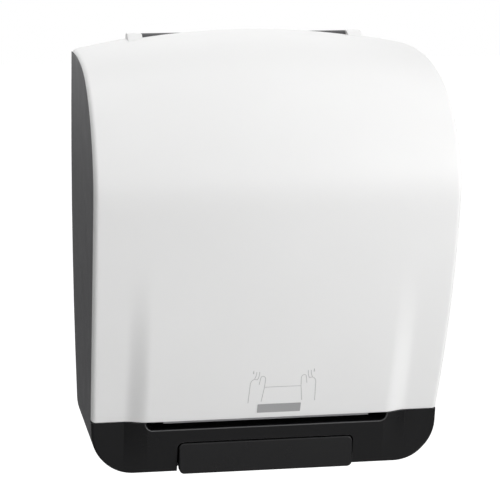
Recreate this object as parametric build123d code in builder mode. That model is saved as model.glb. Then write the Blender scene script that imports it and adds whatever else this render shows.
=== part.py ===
"""Lever paper towel dispenser: a wall-mounted roll towel dispenser with a swing-up
cover, an automatic knife drum and a push lever that feeds towel by hand.

Millimetres. X is to the right as seen from the front, Y points into the wall, Z is up.
The origin is the centre of the four wall holes, on the back face. Heights named
*_level count up from the bottom of the case, and depths count forward from the wall.
"""

from math import acos, atan2, cos, degrees, hypot, pi, radians, sin, sqrt, tan
import os

from build123d import *

os.makedirs("parts", exist_ok=True)

# ---- Case ----
case_width = 335.0  # over the side walls, at their widest
wall = 2.8  # moulded wall of the case parts
back_wall = 3.0
mount_height = 210.0  # wall hole centre above the bottom of the case
hole_spacing_x = 200.0
hole_spacing_z = 180.0
wall_hole_radius = 2.75
corner_radius = 40.0  # lower corners, seen from the front
side_bow = 2.5  # how much narrower each side is at top and bottom
side_depth = 206.0  # front edge of the side walls at its deepest
side_depth_low = 136.0  # the same edge at the cover's lower edge
side_top_level = 383.0
deepest_level = 285.0
cover_bottom_level = 52.0
seam = 0.4  # gap along the edges of the cover and the fascia

# ---- Cover skin ----
cover_rim = 6.0  # how far the cover stands in front of the side walls
cover_rim_top = 2.0
front_crown = 4.0
top_crown = 19.0
edge_round = 4.5
panel_half = 113.0  # raised middle panel, half its width at the lower edge
panel_flank = 22.0
panel_rise = 7.0
panel_top_level = 230.0  # where the raised panel has faded out
skin_sections = 20  # sections of the skin's loft on each side, evenly spaced
top_fullness = 1.65
front_fullness = 3.3
lower_taper = 1.5

# ---- Cover hinge ----
hinge_depth = 11.0
hinge_level = 394.0
hinge_pin_radius = 2.0
hinge_barrel_radius = 6.6
knuckle_radius = 7.0
knuckle_width = 14.0
tongue_half = 99.8  # half the housing's hinge barrel
hinge_gap = 0.4
skin_rear = 5.0  # the cover's rear edge outside the knuckles
running = 0.05  # radial clearance of a shaft that turns in its hole

# ---- Fascia, slot and lever ----
fascia_foot = 136.0  # depth of the fascia's lower edge
fascia_edge = 141.0  # depth of its upper edge near the sides
fascia_brow = 150.0  # depth of its upper edge in the middle
slot_width = 230.0
slot_lip_level = 44.0
slot_floor = 2.5
slot_floor_rear = 118.0
slot_corner = 7.0
lever_width = 166.0
lever_face = 144.5
lever_top_level = 29.0
lever_drop = 1.0  # how far the lever hangs below the fascia
lever_thickness = 3.0
lever_flange = 8.0
lever_gap = 1.0
lever_corner = 6.0
lever_well = 120.0  # depth where the lever's opening in the floor begins
pivot_depth = 134.0
pivot_level = 36.0
pivot_boss = 5.0
lever_shaft_radius = 3.0
lever_travel = 16.0

# ---- Towel drum and roll ----
drum_depth = 95.0
drum_radius = 33.0
drum_wall = 2.6
drum_length = 200.0
ring_width = 14.0
ring_pitch = 50.0
ring_count = 4
ring_bite = 1.2
ring_proud = 0.6
drum_shaft_radius = 5.0
cap_thickness = 6.0
gear_module = 1.5
sector_teeth = 89
pinion_teeth = 24
gear_width = 5.4
backlash = 0.3
pinch_angle = -45.0  # from +Y, where the pinch roller meets the drum
pinch_roller_radius = 9.0
pinch_shaft_radius = 3.0
nip_gap = 0.3
frame_inside = 114.0
frame_thickness = 3.0
frame_rear = 11.0
bush_radius = 8.0
bush_flange = 2.0
roll_level = 285.0
roll_depth = 103.0
core_radius = 18.0
screw_radius = 1.7

# ---- Worked out from the above ----
half_width = case_width / 2
widest_level = (corner_radius + 2 * mount_height) / 2
frame_outside = frame_inside + frame_thickness
gear_distance = gear_module * (sector_teeth + pinion_teeth) / 2
drum_level = pivot_level + sqrt(gear_distance**2 - (pivot_depth - drum_depth) ** 2)
mesh_angle = degrees(atan2(drum_level - pivot_level, pivot_depth - drum_depth))
pinch_distance = drum_radius + ring_proud + pinch_roller_radius + nip_gap
case_height = side_top_level + cover_rim_top + top_crown


def level(height):
    """Z of a height above the bottom of the case."""
    return height - mount_height


def at(depth, height):
    """A point of the YZ sketch plane, from its depth and its height."""
    return (-depth, level(height))


def export(piece, name):
    piece.label = name
    export_step(piece, f"parts/{name}.step")


def side_x(height):
    """Half the case's width at a height: the sides bow outwards."""
    share = (height - widest_level) / (widest_level - corner_radius)
    return half_width - side_bow * share**2


def edge_depth(height, deepest, lowest):
    """Depth of a front edge that leans back towards the bottom of the case."""
    drop = (deepest_level - height) / (deepest_level - cover_bottom_level)
    return deepest - (deepest - lowest) * drop**lower_taper


def side_outline(deepest, top, depth_at, steps=8):
    """Points from the top rear edge over the rounded top and down the front."""
    points = []
    for k in range(steps + 1):
        angle = radians(90 * (1 - k / steps))
        reach = abs(cos(angle)) ** (2 / front_fullness) if k else 0
        rise = sin(angle) ** (2 / top_fullness)
        points.append(at(deepest * reach, deepest_level + (top - deepest_level) * rise))
    for k in range(1, steps + 1):
        height = deepest_level * (1 - k / steps)
        points.append(at(depth_at(height), height))
    return points


def side_block(gap):
    """The space behind the front edges of the side walls, grown by a gap."""
    deepest = side_depth + gap
    lowest = side_depth_low + gap
    with BuildPart() as block:
        with BuildSketch(Plane.YZ):
            with BuildLine():
                edge = Spline(
                    *side_outline(
                        deepest,
                        side_top_level + gap,
                        lambda height: edge_depth(height, deepest, lowest),
                    )
                )
                Polyline(edge @ 1, at(0, 0), edge @ 0)
            make_face()
        extrude(amount=case_width, both=True)
    return block.part


def outline_prism(inset, start=0.0):
    """The case's outline seen from the front: bowed sides and round lower corners."""
    wide = half_width - inset
    narrow = wide - side_bow
    radius = corner_radius - inset
    top = 2 * mount_height
    with BuildPart() as prism:
        with BuildSketch(Plane.XZ.offset(start)):
            with BuildLine():
                for side in (1, -1):
                    ThreePointArc(
                        (side * narrow, level(corner_radius)),
                        (side * wide, level(widest_level)),
                        (side * narrow, level(top)),
                    )
                    JernArc((side * narrow, level(corner_radius)), (0, -1), radius, -side * 90)
                Line((narrow, level(top)), (-narrow, level(top)))
                Line((narrow - radius, level(inset)), (-narrow + radius, level(inset)))
            make_face()
        extrude(amount=1.3 * side_depth)
    return prism.part


def ease(share):
    """A soft step from 0 to 1."""
    share = min(1, max(0, share))
    return share * share * (3 - 2 * share)


def skin_depth(x, height, inset=0.0):
    """Depth of the cover's skin below its deepest level."""
    middle = 1 - min(1, abs(x) / half_width) ** 2
    deepest = side_depth + cover_rim + front_crown * middle - inset
    lowest = side_depth_low + cover_rim - inset
    panel = ease((panel_half + panel_flank - abs(x)) / panel_flank)
    fade = ease((panel_top_level - height) / (panel_top_level - cover_bottom_level))
    return edge_depth(height, deepest, lowest) + panel_rise * panel * fade


def skin_block(inset):
    """Everything behind the cover's skin, lofted through evenly spaced sections."""
    spacing = 1.05 * half_width / skin_sections
    with BuildPart() as block:
        for k in range(-skin_sections, skin_sections + 1):
            x = k * spacing
            middle = 1 - min(1, abs(x) / half_width) ** 2
            deepest = side_depth + cover_rim + front_crown * middle - inset
            top = side_top_level + cover_rim_top + top_crown * middle - inset
            with BuildSketch(Plane.YZ.offset(x)):
                with BuildLine():
                    skin = Spline(
                        *side_outline(
                            deepest, top, lambda height: skin_depth(x, height, inset)
                        )
                    )
                    Polyline(skin @ 1, at(0, 0), skin @ 0)
                make_face()
        loft()
    return block.part


def fascia_block(inset, top):
    """The wedge behind the fascia's front, which stands out most in the middle."""
    ends = [panel_half, panel_half + panel_flank, 1.03 * half_width]
    stations = [-x for x in reversed(ends)] + ends
    with BuildPart() as block:
        for x in stations:
            brow = fascia_brow if abs(x) <= panel_half else fascia_edge
            with BuildSketch(Plane.YZ.offset(x)):
                Polygon(
                    at(0, inset),
                    at(fascia_foot - 1.05 * inset, inset),
                    at(brow - 1.05 * inset, top),
                    at(0, top),
                    align=None,
                )
        loft(ruled=True)
    return block.part


def rod(radius, start, end, depth, height):
    """A round bar along X."""
    with BuildPart() as bar:
        with BuildSketch(Plane.YZ.offset(start)):
            with Locations(at(depth, height)):
                Circle(radius)
        extrude(amount=end - start)
    return bar.part


def coil(radius, wire, pitch, length):
    """A coil spring that stands on the origin along Z."""
    with BuildPart() as spring:
        with BuildLine():
            path = Helix(pitch, length, radius)
        with BuildSketch(Plane(origin=path @ 0, z_dir=path % 0)):
            Circle(wire)
        sweep(is_frenet=True)
    return spring.part


def pan_screw(shank, length):
    """A pan head screw: its head's seat is at the origin, and its shank runs along -Z."""
    with BuildPart() as screw:
        with BuildSketch(Plane.XZ):
            with BuildLine():
                Polyline((0, -length), (shank - 0.5, -length), (shank, 0.7 - length), (shank, 0))
                Polyline((shank, 0), (2 * shank, 0), (2 * shank, 0.8 * shank))
                Polyline((2 * shank, 0.8 * shank), (1.5 * shank, 1.2 * shank), (0, 1.2 * shank))
                Line((0, 1.2 * shank), (0, -length))
            make_face()
        revolve(axis=Axis.Z)
        with Locations((0, 0, 1.2 * shank)):
            Box(0.5 * shank, 2 * shank, shank, mode=Mode.SUBTRACT)
            Box(2 * shank, 0.5 * shank, shank, mode=Mode.SUBTRACT)
    return screw.part


# ---- Rear housing: back wall, side walls, bottom, bosses and the hinge barrel ----
frame_boss_levels = (78.0, 156.0)
arm_boss_levels = (roll_level - 10, roll_level + 10)
boss_x = frame_outside + 7.0
boss_radius = 5.0
boss_spots = [
    (side * boss_x, height)
    for side in (1, -1)
    for height in (*frame_boss_levels, *arm_boss_levels)
]
fascia_screw_x = 100.0
fascia_screw_depth = 104.0
lock_depth = 110.0
lock_level = 90.0
lock_radius = 9.0
rib_height = 4.0
hinge_x = tongue_half + hinge_gap + knuckle_width / 2
sweep_radius = hypot(hinge_depth - skin_rear, hinge_level - side_top_level) + 0.6

with BuildPart() as rear_housing:
    add(side_block(0))
    add(outline_prism(0), mode=Mode.INTERSECT)
    add(outline_prism(wall, back_wall), mode=Mode.SUBTRACT)
    # the cover's rear corners swing down past the side walls here
    for side in (1, -1):
        with BuildSketch(Plane.YZ.offset(side * half_width)):
            with Locations(at(hinge_depth, hinge_level)):
                Circle(sweep_radius)
        extrude(amount=-side * 3 * wall, mode=Mode.SUBTRACT)
    # hinge barrel on its web
    with BuildSketch(Plane.YZ.offset(-tongue_half)):
        with Locations(at(hinge_depth, hinge_level)):
            Circle(hinge_barrel_radius)
        Polygon(
            at(0, side_top_level - 10),
            at(back_wall, side_top_level - 10),
            at(hinge_depth, hinge_level - hinge_barrel_radius),
            at(hinge_depth, hinge_level + 5),
            at(0, hinge_level + 5),
            align=None,
        )
    extrude(amount=2 * tongue_half)
    with BuildSketch(Plane.YZ.offset(-tongue_half)):
        with Locations(at(hinge_depth, hinge_level)):
            Circle(hinge_pin_radius)
    extrude(amount=2 * tongue_half, mode=Mode.SUBTRACT)
    # screw bosses on the back wall
    with BuildSketch(Plane.XZ.offset(back_wall)):
        for x, height in boss_spots:
            with Locations((x, level(height))):
                Circle(boss_radius)
    extrude(amount=frame_rear - back_wall)
    with BuildSketch(Plane.XZ.offset(back_wall)):
        for x, height in boss_spots:
            with Locations((x, level(height))):
                Circle(screw_radius)
    extrude(amount=frame_rear - back_wall, mode=Mode.SUBTRACT)
    # stiffening ribs behind the roll
    with BuildSketch(Plane.XZ.offset(back_wall)):
        with Locations((0, level(280))):
            with GridLocations(36, 0, 4, 1):
                Rectangle(2, 170)
    extrude(amount=rib_height)
    # wall holes
    with BuildSketch(Plane.XZ):
        with GridLocations(hole_spacing_x, hole_spacing_z, 2, 2):
            Circle(wall_hole_radius)
    extrude(amount=back_wall, mode=Mode.SUBTRACT)
    # countersunk holes for the fascia's screws, and the lock's hole
    with BuildSketch(Plane.XY.offset(level(0))):
        with Locations(
            (fascia_screw_x, -fascia_screw_depth), (-fascia_screw_x, -fascia_screw_depth)
        ):
            Circle(screw_radius + 0.1)
    extrude(amount=wall + 0.1, mode=Mode.SUBTRACT)
    for side in (1, -1):
        with Locations((side * fascia_screw_x, -fascia_screw_depth, level(0.9))):
            Cone(2 * screw_radius + 0.1, screw_radius + 0.1, 1.8, mode=Mode.SUBTRACT)
    with BuildSketch(Plane.YZ.offset(half_width - 4 * wall)):
        with Locations(at(lock_depth, lock_level)):
            Circle(lock_radius)
    extrude(amount=5 * wall, mode=Mode.SUBTRACT)
export(rear_housing.part, "rear_housing")

# ---- Outlet fascia: black band with the towel slot and the lever's opening ----
fascia_top = cover_bottom_level - seam
ear_x = lever_width / 2 + lever_gap + 4.0
ear_width = 4.0
outer_ear_x = frame_inside
tab_width = 20.0
fascia_corner_round = 2.5
opening_rounds = (  # from and to a height on the front, and the radius of the edges there
    (1.0, lever_top_level + 2 * lever_gap, 0.8),
    (slot_lip_level - 1, slot_lip_level + slot_corner, 0.5),
)

with BuildPart() as outlet_fascia:
    add(fascia_block(0, fascia_top))
    add(outline_prism(0), mode=Mode.INTERSECT)
    corners = outlet_fascia.edges().filter_by(GeomType.ELLIPSE)
    fillet(corners.filter_by(lambda edge: -edge.center().Y > fascia_foot), fascia_corner_round)
    add(side_block(seam), mode=Mode.SUBTRACT)
    pocket = fascia_block(wall, fascia_top - wall) & outline_prism(wall)
    add(pocket, mode=Mode.SUBTRACT)
    # slot floor and slot ends
    slot_block = fascia_block(0.5, fascia_top)
    with BuildPart(mode=Mode.PRIVATE) as shelf:
        with BuildSketch(Plane.YZ.offset(-slot_width / 2 - slot_floor)):
            Polygon(
                at(slot_floor_rear, slot_lip_level - slot_floor),
                at(slot_floor_rear, fascia_top),
                at(fascia_brow, fascia_top),
                at(fascia_brow, slot_lip_level - slot_floor),
                align=None,
            )
        extrude(amount=slot_width + 2 * slot_floor)
    add(shelf.part & slot_block)
    with BuildSketch(Plane.XZ.offset(slot_floor_rear)):
        with Locations((0, level(slot_lip_level + slot_corner + 5))):
            RectangleRounded(slot_width, 2 * slot_corner + 10, slot_corner)
    extrude(amount=side_depth - slot_floor_rear, mode=Mode.SUBTRACT)
    # opening for the lever, through the front and the floor
    with BuildSketch(Plane.XZ.offset(lever_well)):
        with Locations((0, level(lever_top_level + lever_gap) - 25)):
            RectangleRounded(lever_width + 2 * lever_gap, 50, lever_corner)
    extrude(amount=side_depth - lever_well, mode=Mode.SUBTRACT)
    # ears that carry the lever's shaft
    for x in (-ear_x, ear_x, outer_ear_x):
        with BuildSketch(Plane.YZ.offset(x - ear_width / 2)):
            with Locations(at(pivot_depth, pivot_level)):
                Circle(pivot_boss)
            Polygon(
                at(pivot_depth, pivot_level - pivot_boss),
                at(pivot_depth + 7.5, pivot_level - pivot_boss),
                at(fascia_foot + 7.8, slot_lip_level - slot_floor),
                at(pivot_depth - 3, slot_lip_level - slot_floor),
                at(pivot_depth - 3, pivot_level),
                align=None,
            )
        extrude(amount=ear_width)
    with BuildSketch(Plane.YZ.offset(-ear_x - ear_width)):
        with Locations(at(pivot_depth, pivot_level)):
            Circle(lever_shaft_radius + running)
    extrude(amount=ear_x + outer_ear_x + 2 * ear_width, mode=Mode.SUBTRACT)
    # tabs that lie on the housing's floor
    for side in (1, -1):
        with BuildSketch(Plane.XY.offset(level(wall))):
            with Locations((side * fascia_screw_x, -fascia_screw_depth - 6)):
                Rectangle(tab_width, 28)
        extrude(amount=3)
    with BuildSketch(Plane.XY.offset(level(wall))):
        with Locations(
            (fascia_screw_x, -fascia_screw_depth), (-fascia_screw_x, -fascia_screw_depth)
        ):
            Circle(screw_radius)
    extrude(amount=3, mode=Mode.SUBTRACT)
    # rounded edges of the lever's opening and of the slot's lip
    for low, high, radius in opening_rounds:
        forward = outlet_fascia.faces().filter_by(lambda face: face.normal_at().Y < -0.9)
        front_edges = forward.sort_by(SortBy.AREA)[-1].edges()
        front_edges = front_edges.filter_by(lambda edge: abs(edge.center().X) < panel_half - 1)
        fillet(front_edges.filter_by_position(Axis.Z, level(low), level(high)), radius)
export(outlet_fascia.part, "outlet_fascia")

with BuildPart() as fascia_screws:
    for side in (1, -1):
        with BuildSketch(Plane.XZ.offset(fascia_screw_depth)):
            with BuildLine():
                Polyline(
                    (side * fascia_screw_x, level(0)),
                    (side * fascia_screw_x + 2 * screw_radius, level(0)),
                    (side * fascia_screw_x + screw_radius, level(1.7)),
                    (side * fascia_screw_x + screw_radius, level(6.5)),
                    (side * fascia_screw_x, level(7.5)),
                    close=True,
                )
            make_face()
        revolve(axis=Axis((side * fascia_screw_x, -fascia_screw_depth, 0), (0, 0, 1)))
export(fascia_screws.part, "fascia_screws")

# ---- Front cover: one skin over the front and the top, hinged at its top rear edge ----
catch_x = 141.0
catch_depth = 131.0
catch_pin_radius = 2.0
cam_x = 146.0
cam_thickness = 3.5
label_width = 41.0
label_height = 10.0
label_thickness = 1.2
label_proud = 0.4
label_x = 10.0
label_level = 62.5
strip_length = 196.0

skin_lean = degrees(
    atan2(skin_depth(label_x, label_level + 5) - skin_depth(label_x, label_level - 5), 10)
)
label_plane = Plane(
    origin=(label_x, -skin_depth(label_x, label_level) - label_proud, level(label_level)),
    x_dir=(1, 0, 0),
    z_dir=(0, -cos(radians(skin_lean)), -sin(radians(skin_lean))),
)
inside_skin = skin_block(wall)

with BuildPart() as front_cover:
    add(skin_block(0))
    add(outline_prism(0), mode=Mode.INTERSECT)
    with Locations((0, -skin_rear, level(cover_bottom_level))):
        Box(
            1.1 * case_width,
            1.2 * side_depth,
            1.1 * case_height,
            align=(Align.CENTER, Align.MAX, Align.MIN),
            mode=Mode.INTERSECT,
        )
    long_edges = front_cover.edges().filter_by(GeomType.BSPLINE)
    fillet(long_edges.filter_by(lambda edge: edge.length > case_height), edge_round)
    add(inside_skin & outline_prism(wall), mode=Mode.SUBTRACT)
    add(side_block(seam), mode=Mode.SUBTRACT)
    # room for the housing's hinge barrel
    with Locations((0, 0, level(hinge_level))):
        Box(
            2 * (tongue_half + hinge_gap),
            2 * (hinge_depth + hinge_barrel_radius + 2),
            40,
            mode=Mode.SUBTRACT,
        )
    # knuckles
    for side in (1, -1):
        with BuildSketch(Plane.YZ.offset(side * hinge_x - knuckle_width / 2)):
            with Locations(at(hinge_depth, hinge_level)):
                Circle(knuckle_radius)
            Polygon(
                at(hinge_depth, hinge_level - knuckle_radius),
                at(hinge_depth, hinge_level + knuckle_radius),
                at(hinge_depth + 10, hinge_level + knuckle_radius),
                at(hinge_depth + 22, hinge_level + 1),
                at(hinge_depth + 22, hinge_level - 3),
                at(hinge_depth + 12, hinge_level - knuckle_radius),
                align=None,
            )
        extrude(amount=knuckle_width)
        with BuildSketch(Plane.YZ.offset(side * hinge_x - knuckle_width / 2)):
            with Locations(at(hinge_depth, hinge_level)):
                Circle(hinge_pin_radius + running)
        extrude(amount=knuckle_width, mode=Mode.SUBTRACT)
    # recess for the label plate
    with BuildSketch(label_plane):
        Rectangle(label_width + 0.2, label_height + 0.2)
    extrude(amount=-label_thickness - 0.1, mode=Mode.SUBTRACT)
export(front_cover.part, "front_cover")

# catch arm welded to the inside of the skin, with the pin that the lock's hook holds
with BuildPart() as cover_catch:
    with BuildSketch(Plane.YZ.offset(catch_x - 1.5)):
        with Locations(at(catch_depth, lock_level)):
            Circle(5)
        Polygon(
            at(catch_depth, lock_level - 5),
            at(catch_depth, lock_level + 5),
            at(side_depth, lock_level + 14),
            at(side_depth, lock_level - 14),
            align=None,
        )
    extrude(amount=3)
    with BuildSketch(Plane.YZ.offset(catch_x)):
        with Locations(at(catch_depth, lock_level)):
            Circle(catch_pin_radius)
    extrude(amount=cam_x + cam_thickness + 2 - catch_x)
    add(inside_skin, mode=Mode.INTERSECT)
export(cover_catch.part, "cover_catch")

with BuildPart() as label_plate:
    with BuildSketch(label_plane):
        Rectangle(label_width, label_height)
    extrude(amount=-label_thickness)
    fillet(label_plate.edges().filter_by(Axis.Y, reverse=True).group_by(SortBy.LENGTH)[0], 0.3)
export(label_plate.part, "label_plate")

with BuildPart() as tear_strip:
    with BuildSketch(Plane.YZ.offset(-strip_length / 2)):
        Polygon(
            *[
                at(skin_depth(0, height, wall + nip_gap + lift), height)
                for lift, height in ((0, 49.3), (0, 60.0), (1.0, 60.0), (1.0, 49.3))
            ],
            align=None,
        )
    extrude(amount=strip_length)
export(tear_strip.part, "tear_strip")

with BuildPart() as hinge_pins:
    for side in (1, -1):
        near = side * (tongue_half - 22)
        far = side * (hinge_x + knuckle_width / 2)
        add(rod(hinge_pin_radius, near, far, hinge_depth, hinge_level))
export(hinge_pins.part, "hinge_pins")

# ---- Push lever on its shaft ----
arm_x = lever_width / 2 - 5.0
lever_height = lever_top_level + lever_drop
lever_middle = level((lever_top_level - lever_drop) / 2)

with BuildPart() as push_lever:
    with BuildSketch(Plane.XZ.offset(lever_face - lever_flange)):
        with Locations((0, lever_middle)):
            RectangleRounded(lever_width, lever_height, lever_corner - lever_gap)
    extrude(amount=lever_flange)
    fillet(push_lever.faces().sort_by(Axis.Y)[0].edges(), 1.2)
    with BuildSketch(Plane.XZ.offset(lever_face - lever_flange)):
        with Locations((0, lever_middle)):
            Rectangle(lever_width - 2 * lever_thickness, lever_height - 2 * lever_thickness)
    extrude(amount=lever_flange - lever_thickness, mode=Mode.SUBTRACT)
    for x in (-arm_x, arm_x):
        with BuildSketch(Plane.YZ.offset(x - ear_width / 2)):
            with Locations(at(pivot_depth, pivot_level)):
                Circle(pivot_boss)
            Polygon(
                at(lever_face - lever_thickness, lever_thickness),
                at(lever_face - lever_thickness, lever_top_level - 2),
                at(pivot_depth + pivot_boss - 0.2, pivot_level + 1),
                at(pivot_depth - pivot_boss + 0.2, pivot_level - 1),
                align=None,
            )
        extrude(amount=ear_width)
    with BuildSketch(Plane.YZ.offset(-half_width)):
        with Locations(at(pivot_depth, pivot_level)):
            Circle(lever_shaft_radius)
    extrude(amount=case_width, mode=Mode.SUBTRACT)
export(push_lever.part, "push_lever")

gear_start = frame_outside + bush_flange + 0.6
gear_end = gear_start + gear_width
clip_thickness = 0.8
shaft_left = -(ear_x + ear_width / 2 + clip_thickness + 2)
shaft_right = gear_end + clip_thickness + 2

lever_shaft = rod(lever_shaft_radius, shaft_left, shaft_right, pivot_depth, pivot_level)
export(lever_shaft, "lever_shaft")

with BuildPart() as shaft_clips:
    for start in (shaft_left + 1.5, gear_end + 0.2):
        with BuildSketch(Plane.YZ.offset(start)):
            with Locations(at(pivot_depth, pivot_level)):
                Circle(pivot_boss)
                Circle(lever_shaft_radius, mode=Mode.SUBTRACT)
            with Locations(at(pivot_depth, pivot_level - lever_shaft_radius)):
                Rectangle(lever_shaft_radius, 2.2 * lever_shaft_radius, mode=Mode.SUBTRACT)
        extrude(amount=clip_thickness)
export(shaft_clips.part, "shaft_clips")

with BuildPart() as lever_springs:
    for side in (1, -1):
        start = Location((side * arm_x * 0.84, *at(pivot_depth, pivot_level)), (0, 90, 0))
        with Locations(start):
            add(coil(lever_shaft_radius + 1.1, 0.5, 1.3, 5 * 1.3))
        foot = (side * arm_x * 0.84, -pivot_depth, level(pivot_level) - 4.1)
        with Locations(foot):
            Box(1.0, 1.0, 9.0, align=(Align.CENTER, Align.CENTER, Align.MAX))
        with Locations((foot[0], foot[1], foot[2] - 8.5)):
            Box(
                1.0,
                lever_face - lever_thickness - pivot_depth - nip_gap,
                1.0,
                align=(Align.CENTER, Align.MAX, Align.CENTER),
            )
export(lever_springs.part, "lever_springs")


# ---- Gears between the lever and the drum ----
def tooth_points(teeth):
    """One involute tooth along +X, for a wheel centred on the origin."""
    pressure = radians(20)
    pitch_radius = gear_module * teeth / 2
    base = pitch_radius * cos(pressure)
    root = pitch_radius - 1.2 * gear_module
    tip = pitch_radius + 0.95 * gear_module
    half = pi / (2 * teeth) - backlash / (4 * pitch_radius) + tan(pressure) - pressure
    first = max(base, root)
    flank = [(root - 0.4, half - tan(acos(base / first)) + acos(base / first))]
    for k in range(6):
        radius = first + (tip - first) * k / 5
        roll = acos(base / radius)
        flank.append((radius, half - tan(roll) + roll))
    mirrored = [(radius, -angle) for radius, angle in reversed(flank)]
    return [(radius * cos(a), radius * sin(a)) for radius, a in flank + mirrored]


def root_radius(teeth):
    """Radius of the bottom of the gaps between the teeth."""
    return gear_module * teeth / 2 - 1.2 * gear_module


sector_pitch = 360 / sector_teeth
sector_low = -round((lever_travel + 6) / sector_pitch)
sector_high = 1
sector_edges = [
    radians(mesh_angle + (sector_low - 0.6) * sector_pitch),
    radians(mesh_angle + (sector_high + 0.6) * sector_pitch),
]

with BuildPart() as gear_sector:
    with BuildSketch(Plane.YZ.offset(gear_start)):
        with Locations(at(pivot_depth, pivot_level)):
            Circle(root_radius(sector_teeth))
            Polygon(
                (0, 0),
                *[(gear_distance * cos(a), gear_distance * sin(a)) for a in sector_edges],
                align=None,
                mode=Mode.INTERSECT,
            )
        for k in range(sector_low, sector_high + 1):
            turn = mesh_angle + k * sector_pitch
            with Locations(Location((*at(pivot_depth, pivot_level), 0), (0, 0, turn))):
                Polygon(*tooth_points(sector_teeth), align=None)
        with Locations(at(pivot_depth, pivot_level)):
            Circle(pivot_boss + 0.5)
            Circle(lever_shaft_radius, mode=Mode.SUBTRACT)
    extrude(amount=gear_width)
export(gear_sector.part, "gear_sector")

with BuildPart() as drive_pinion:
    with BuildSketch(Plane.YZ.offset(gear_start - 0.3)):
        with Locations(at(drum_depth, drum_level)):
            Circle(root_radius(pinion_teeth))
        for k in range(pinion_teeth):
            turn = mesh_angle + 180 + (k + 0.5) * 360 / pinion_teeth
            with Locations(Location((*at(drum_depth, drum_level), 0), (0, 0, turn))):
                Polygon(*tooth_points(pinion_teeth), align=None)
    extrude(amount=gear_width + 0.6)
    with BuildSketch(Plane.YZ.offset(gear_end)):
        with Locations(at(drum_depth, drum_level)):
            Circle(9)
    extrude(amount=2.3)
    with BuildSketch(Plane.YZ.offset(gear_start - 1)):
        with Locations(at(drum_depth, drum_level)):
            Circle(drum_shaft_radius + running)
    extrude(amount=gear_width + 5, mode=Mode.SUBTRACT)
export(drive_pinion.part, "drive_pinion")

# ---- Mechanism frames ----
pinch_y = -drum_depth + pinch_distance * cos(radians(pinch_angle))
pinch_z = level(drum_level) + pinch_distance * sin(radians(pinch_angle))
pinch_out = (cos(radians(pinch_angle)), sin(radians(pinch_angle)))
tie_spots = ((58.0, 158.0), (28.0, 72.0))
tie_radius = 3.0
lug_distance = 15.5
lug_length = 8.0
flange_width = 15.0
flange_thickness = 3.0
post_depth = 35.0
post_level = 152.0
post_radius = 3.0

for name, side in (("side_frame_right", 1), ("side_frame_left", -1)):
    with BuildPart() as side_frame:
        with BuildSketch(Plane.YZ.offset(side * frame_inside)):
            Polygon(
                at(frame_rear, 60),
                at(frame_rear, 170),
                at(72, 170),
                at(slot_floor_rear + 4, 138),
                at(slot_floor_rear + 4, 62),
                at(slot_floor_rear - 1.5, 56),
                at(slot_floor_rear - 1.5, 46),
                at(95, 46),
                align=None,
            )
            with Locations(at(drum_depth, drum_level)):
                Circle(bush_radius, mode=Mode.SUBTRACT)
            with Locations(*[at(*spot) for spot in tie_spots]):
                Circle(tie_radius, mode=Mode.SUBTRACT)
            slot_middle = (pinch_y + 1.5 * pinch_out[0], pinch_z + 1.5 * pinch_out[1], 0)
            with Locations(Location(slot_middle, (0, 0, pinch_angle))):
                SlotCenterToCenter(3, 2 * (pinch_shaft_radius + running), mode=Mode.SUBTRACT)
        extrude(amount=side * frame_thickness)
        with BuildSketch(Plane.YZ.offset(side * frame_outside)):
            lug_middle = (
                pinch_y + lug_distance * pinch_out[0],
                pinch_z + lug_distance * pinch_out[1],
                0,
            )
            with Locations(Location(lug_middle, (0, 0, pinch_angle))):
                Rectangle(3, 9)
        extrude(amount=side * lug_length)
        with BuildSketch(Plane.XZ.offset(frame_rear)):
            low, high = frame_boss_levels[0] - 10, frame_boss_levels[1] + 10
            with Locations((side * (frame_outside + flange_width / 2), level((low + high) / 2))):
                Rectangle(flange_width, high - low)
            for height in frame_boss_levels:
                with Locations((side * boss_x, level(height))):
                    Circle(screw_radius + 0.3, mode=Mode.SUBTRACT)
        extrude(amount=flange_thickness)
    export(side_frame.part, name)

with BuildPart() as tie_rods:
    for depth, height in tie_spots:
        add(rod(tie_radius, -frame_outside - 1, frame_outside + 1, depth, height))
export(tie_rods.part, "tie_rods")

with BuildPart() as shaft_bushes:
    for side in (1, -1):
        with BuildSketch(Plane.YZ.offset(side * (frame_inside - bush_flange))):
            with Locations(at(drum_depth, drum_level)):
                Circle(bush_radius + 3)
        extrude(amount=side * bush_flange)
        with BuildSketch(Plane.YZ.offset(side * (frame_inside - bush_flange))):
            with Locations(at(drum_depth, drum_level)):
                Circle(bush_radius)
        extrude(amount=side * (frame_thickness + 2 * bush_flange))
        with BuildSketch(Plane.YZ.offset(side * (frame_inside - bush_flange))):
            with Locations(at(drum_depth, drum_level)):
                Circle(drum_shaft_radius + running)
        extrude(amount=side * 10, mode=Mode.SUBTRACT)
export(shaft_bushes.part, "shaft_bushes")

with BuildPart() as frame_screws:
    seat = -(frame_rear + flange_thickness)
    for side in (1, -1):
        for height in frame_boss_levels:
            with Locations(Location((side * boss_x, seat, level(height)), (90, 0, 0))):
                add(pan_screw(screw_radius, 9))
export(frame_screws.part, "frame_screws")

with BuildPart() as towel_chute:
    with BuildSketch(Plane.YZ.offset(-frame_inside)):
        Polygon(
            at(70, 66),
            at(104, 46.5),
            at(slot_floor_rear - nip_gap, slot_lip_level),
            at(slot_floor_rear - nip_gap, slot_lip_level - 2),
            at(103.4, 44.4),
            at(69, 64),
            align=None,
        )
    extrude(amount=2 * frame_inside)
export(towel_chute.part, "towel_chute")

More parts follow.
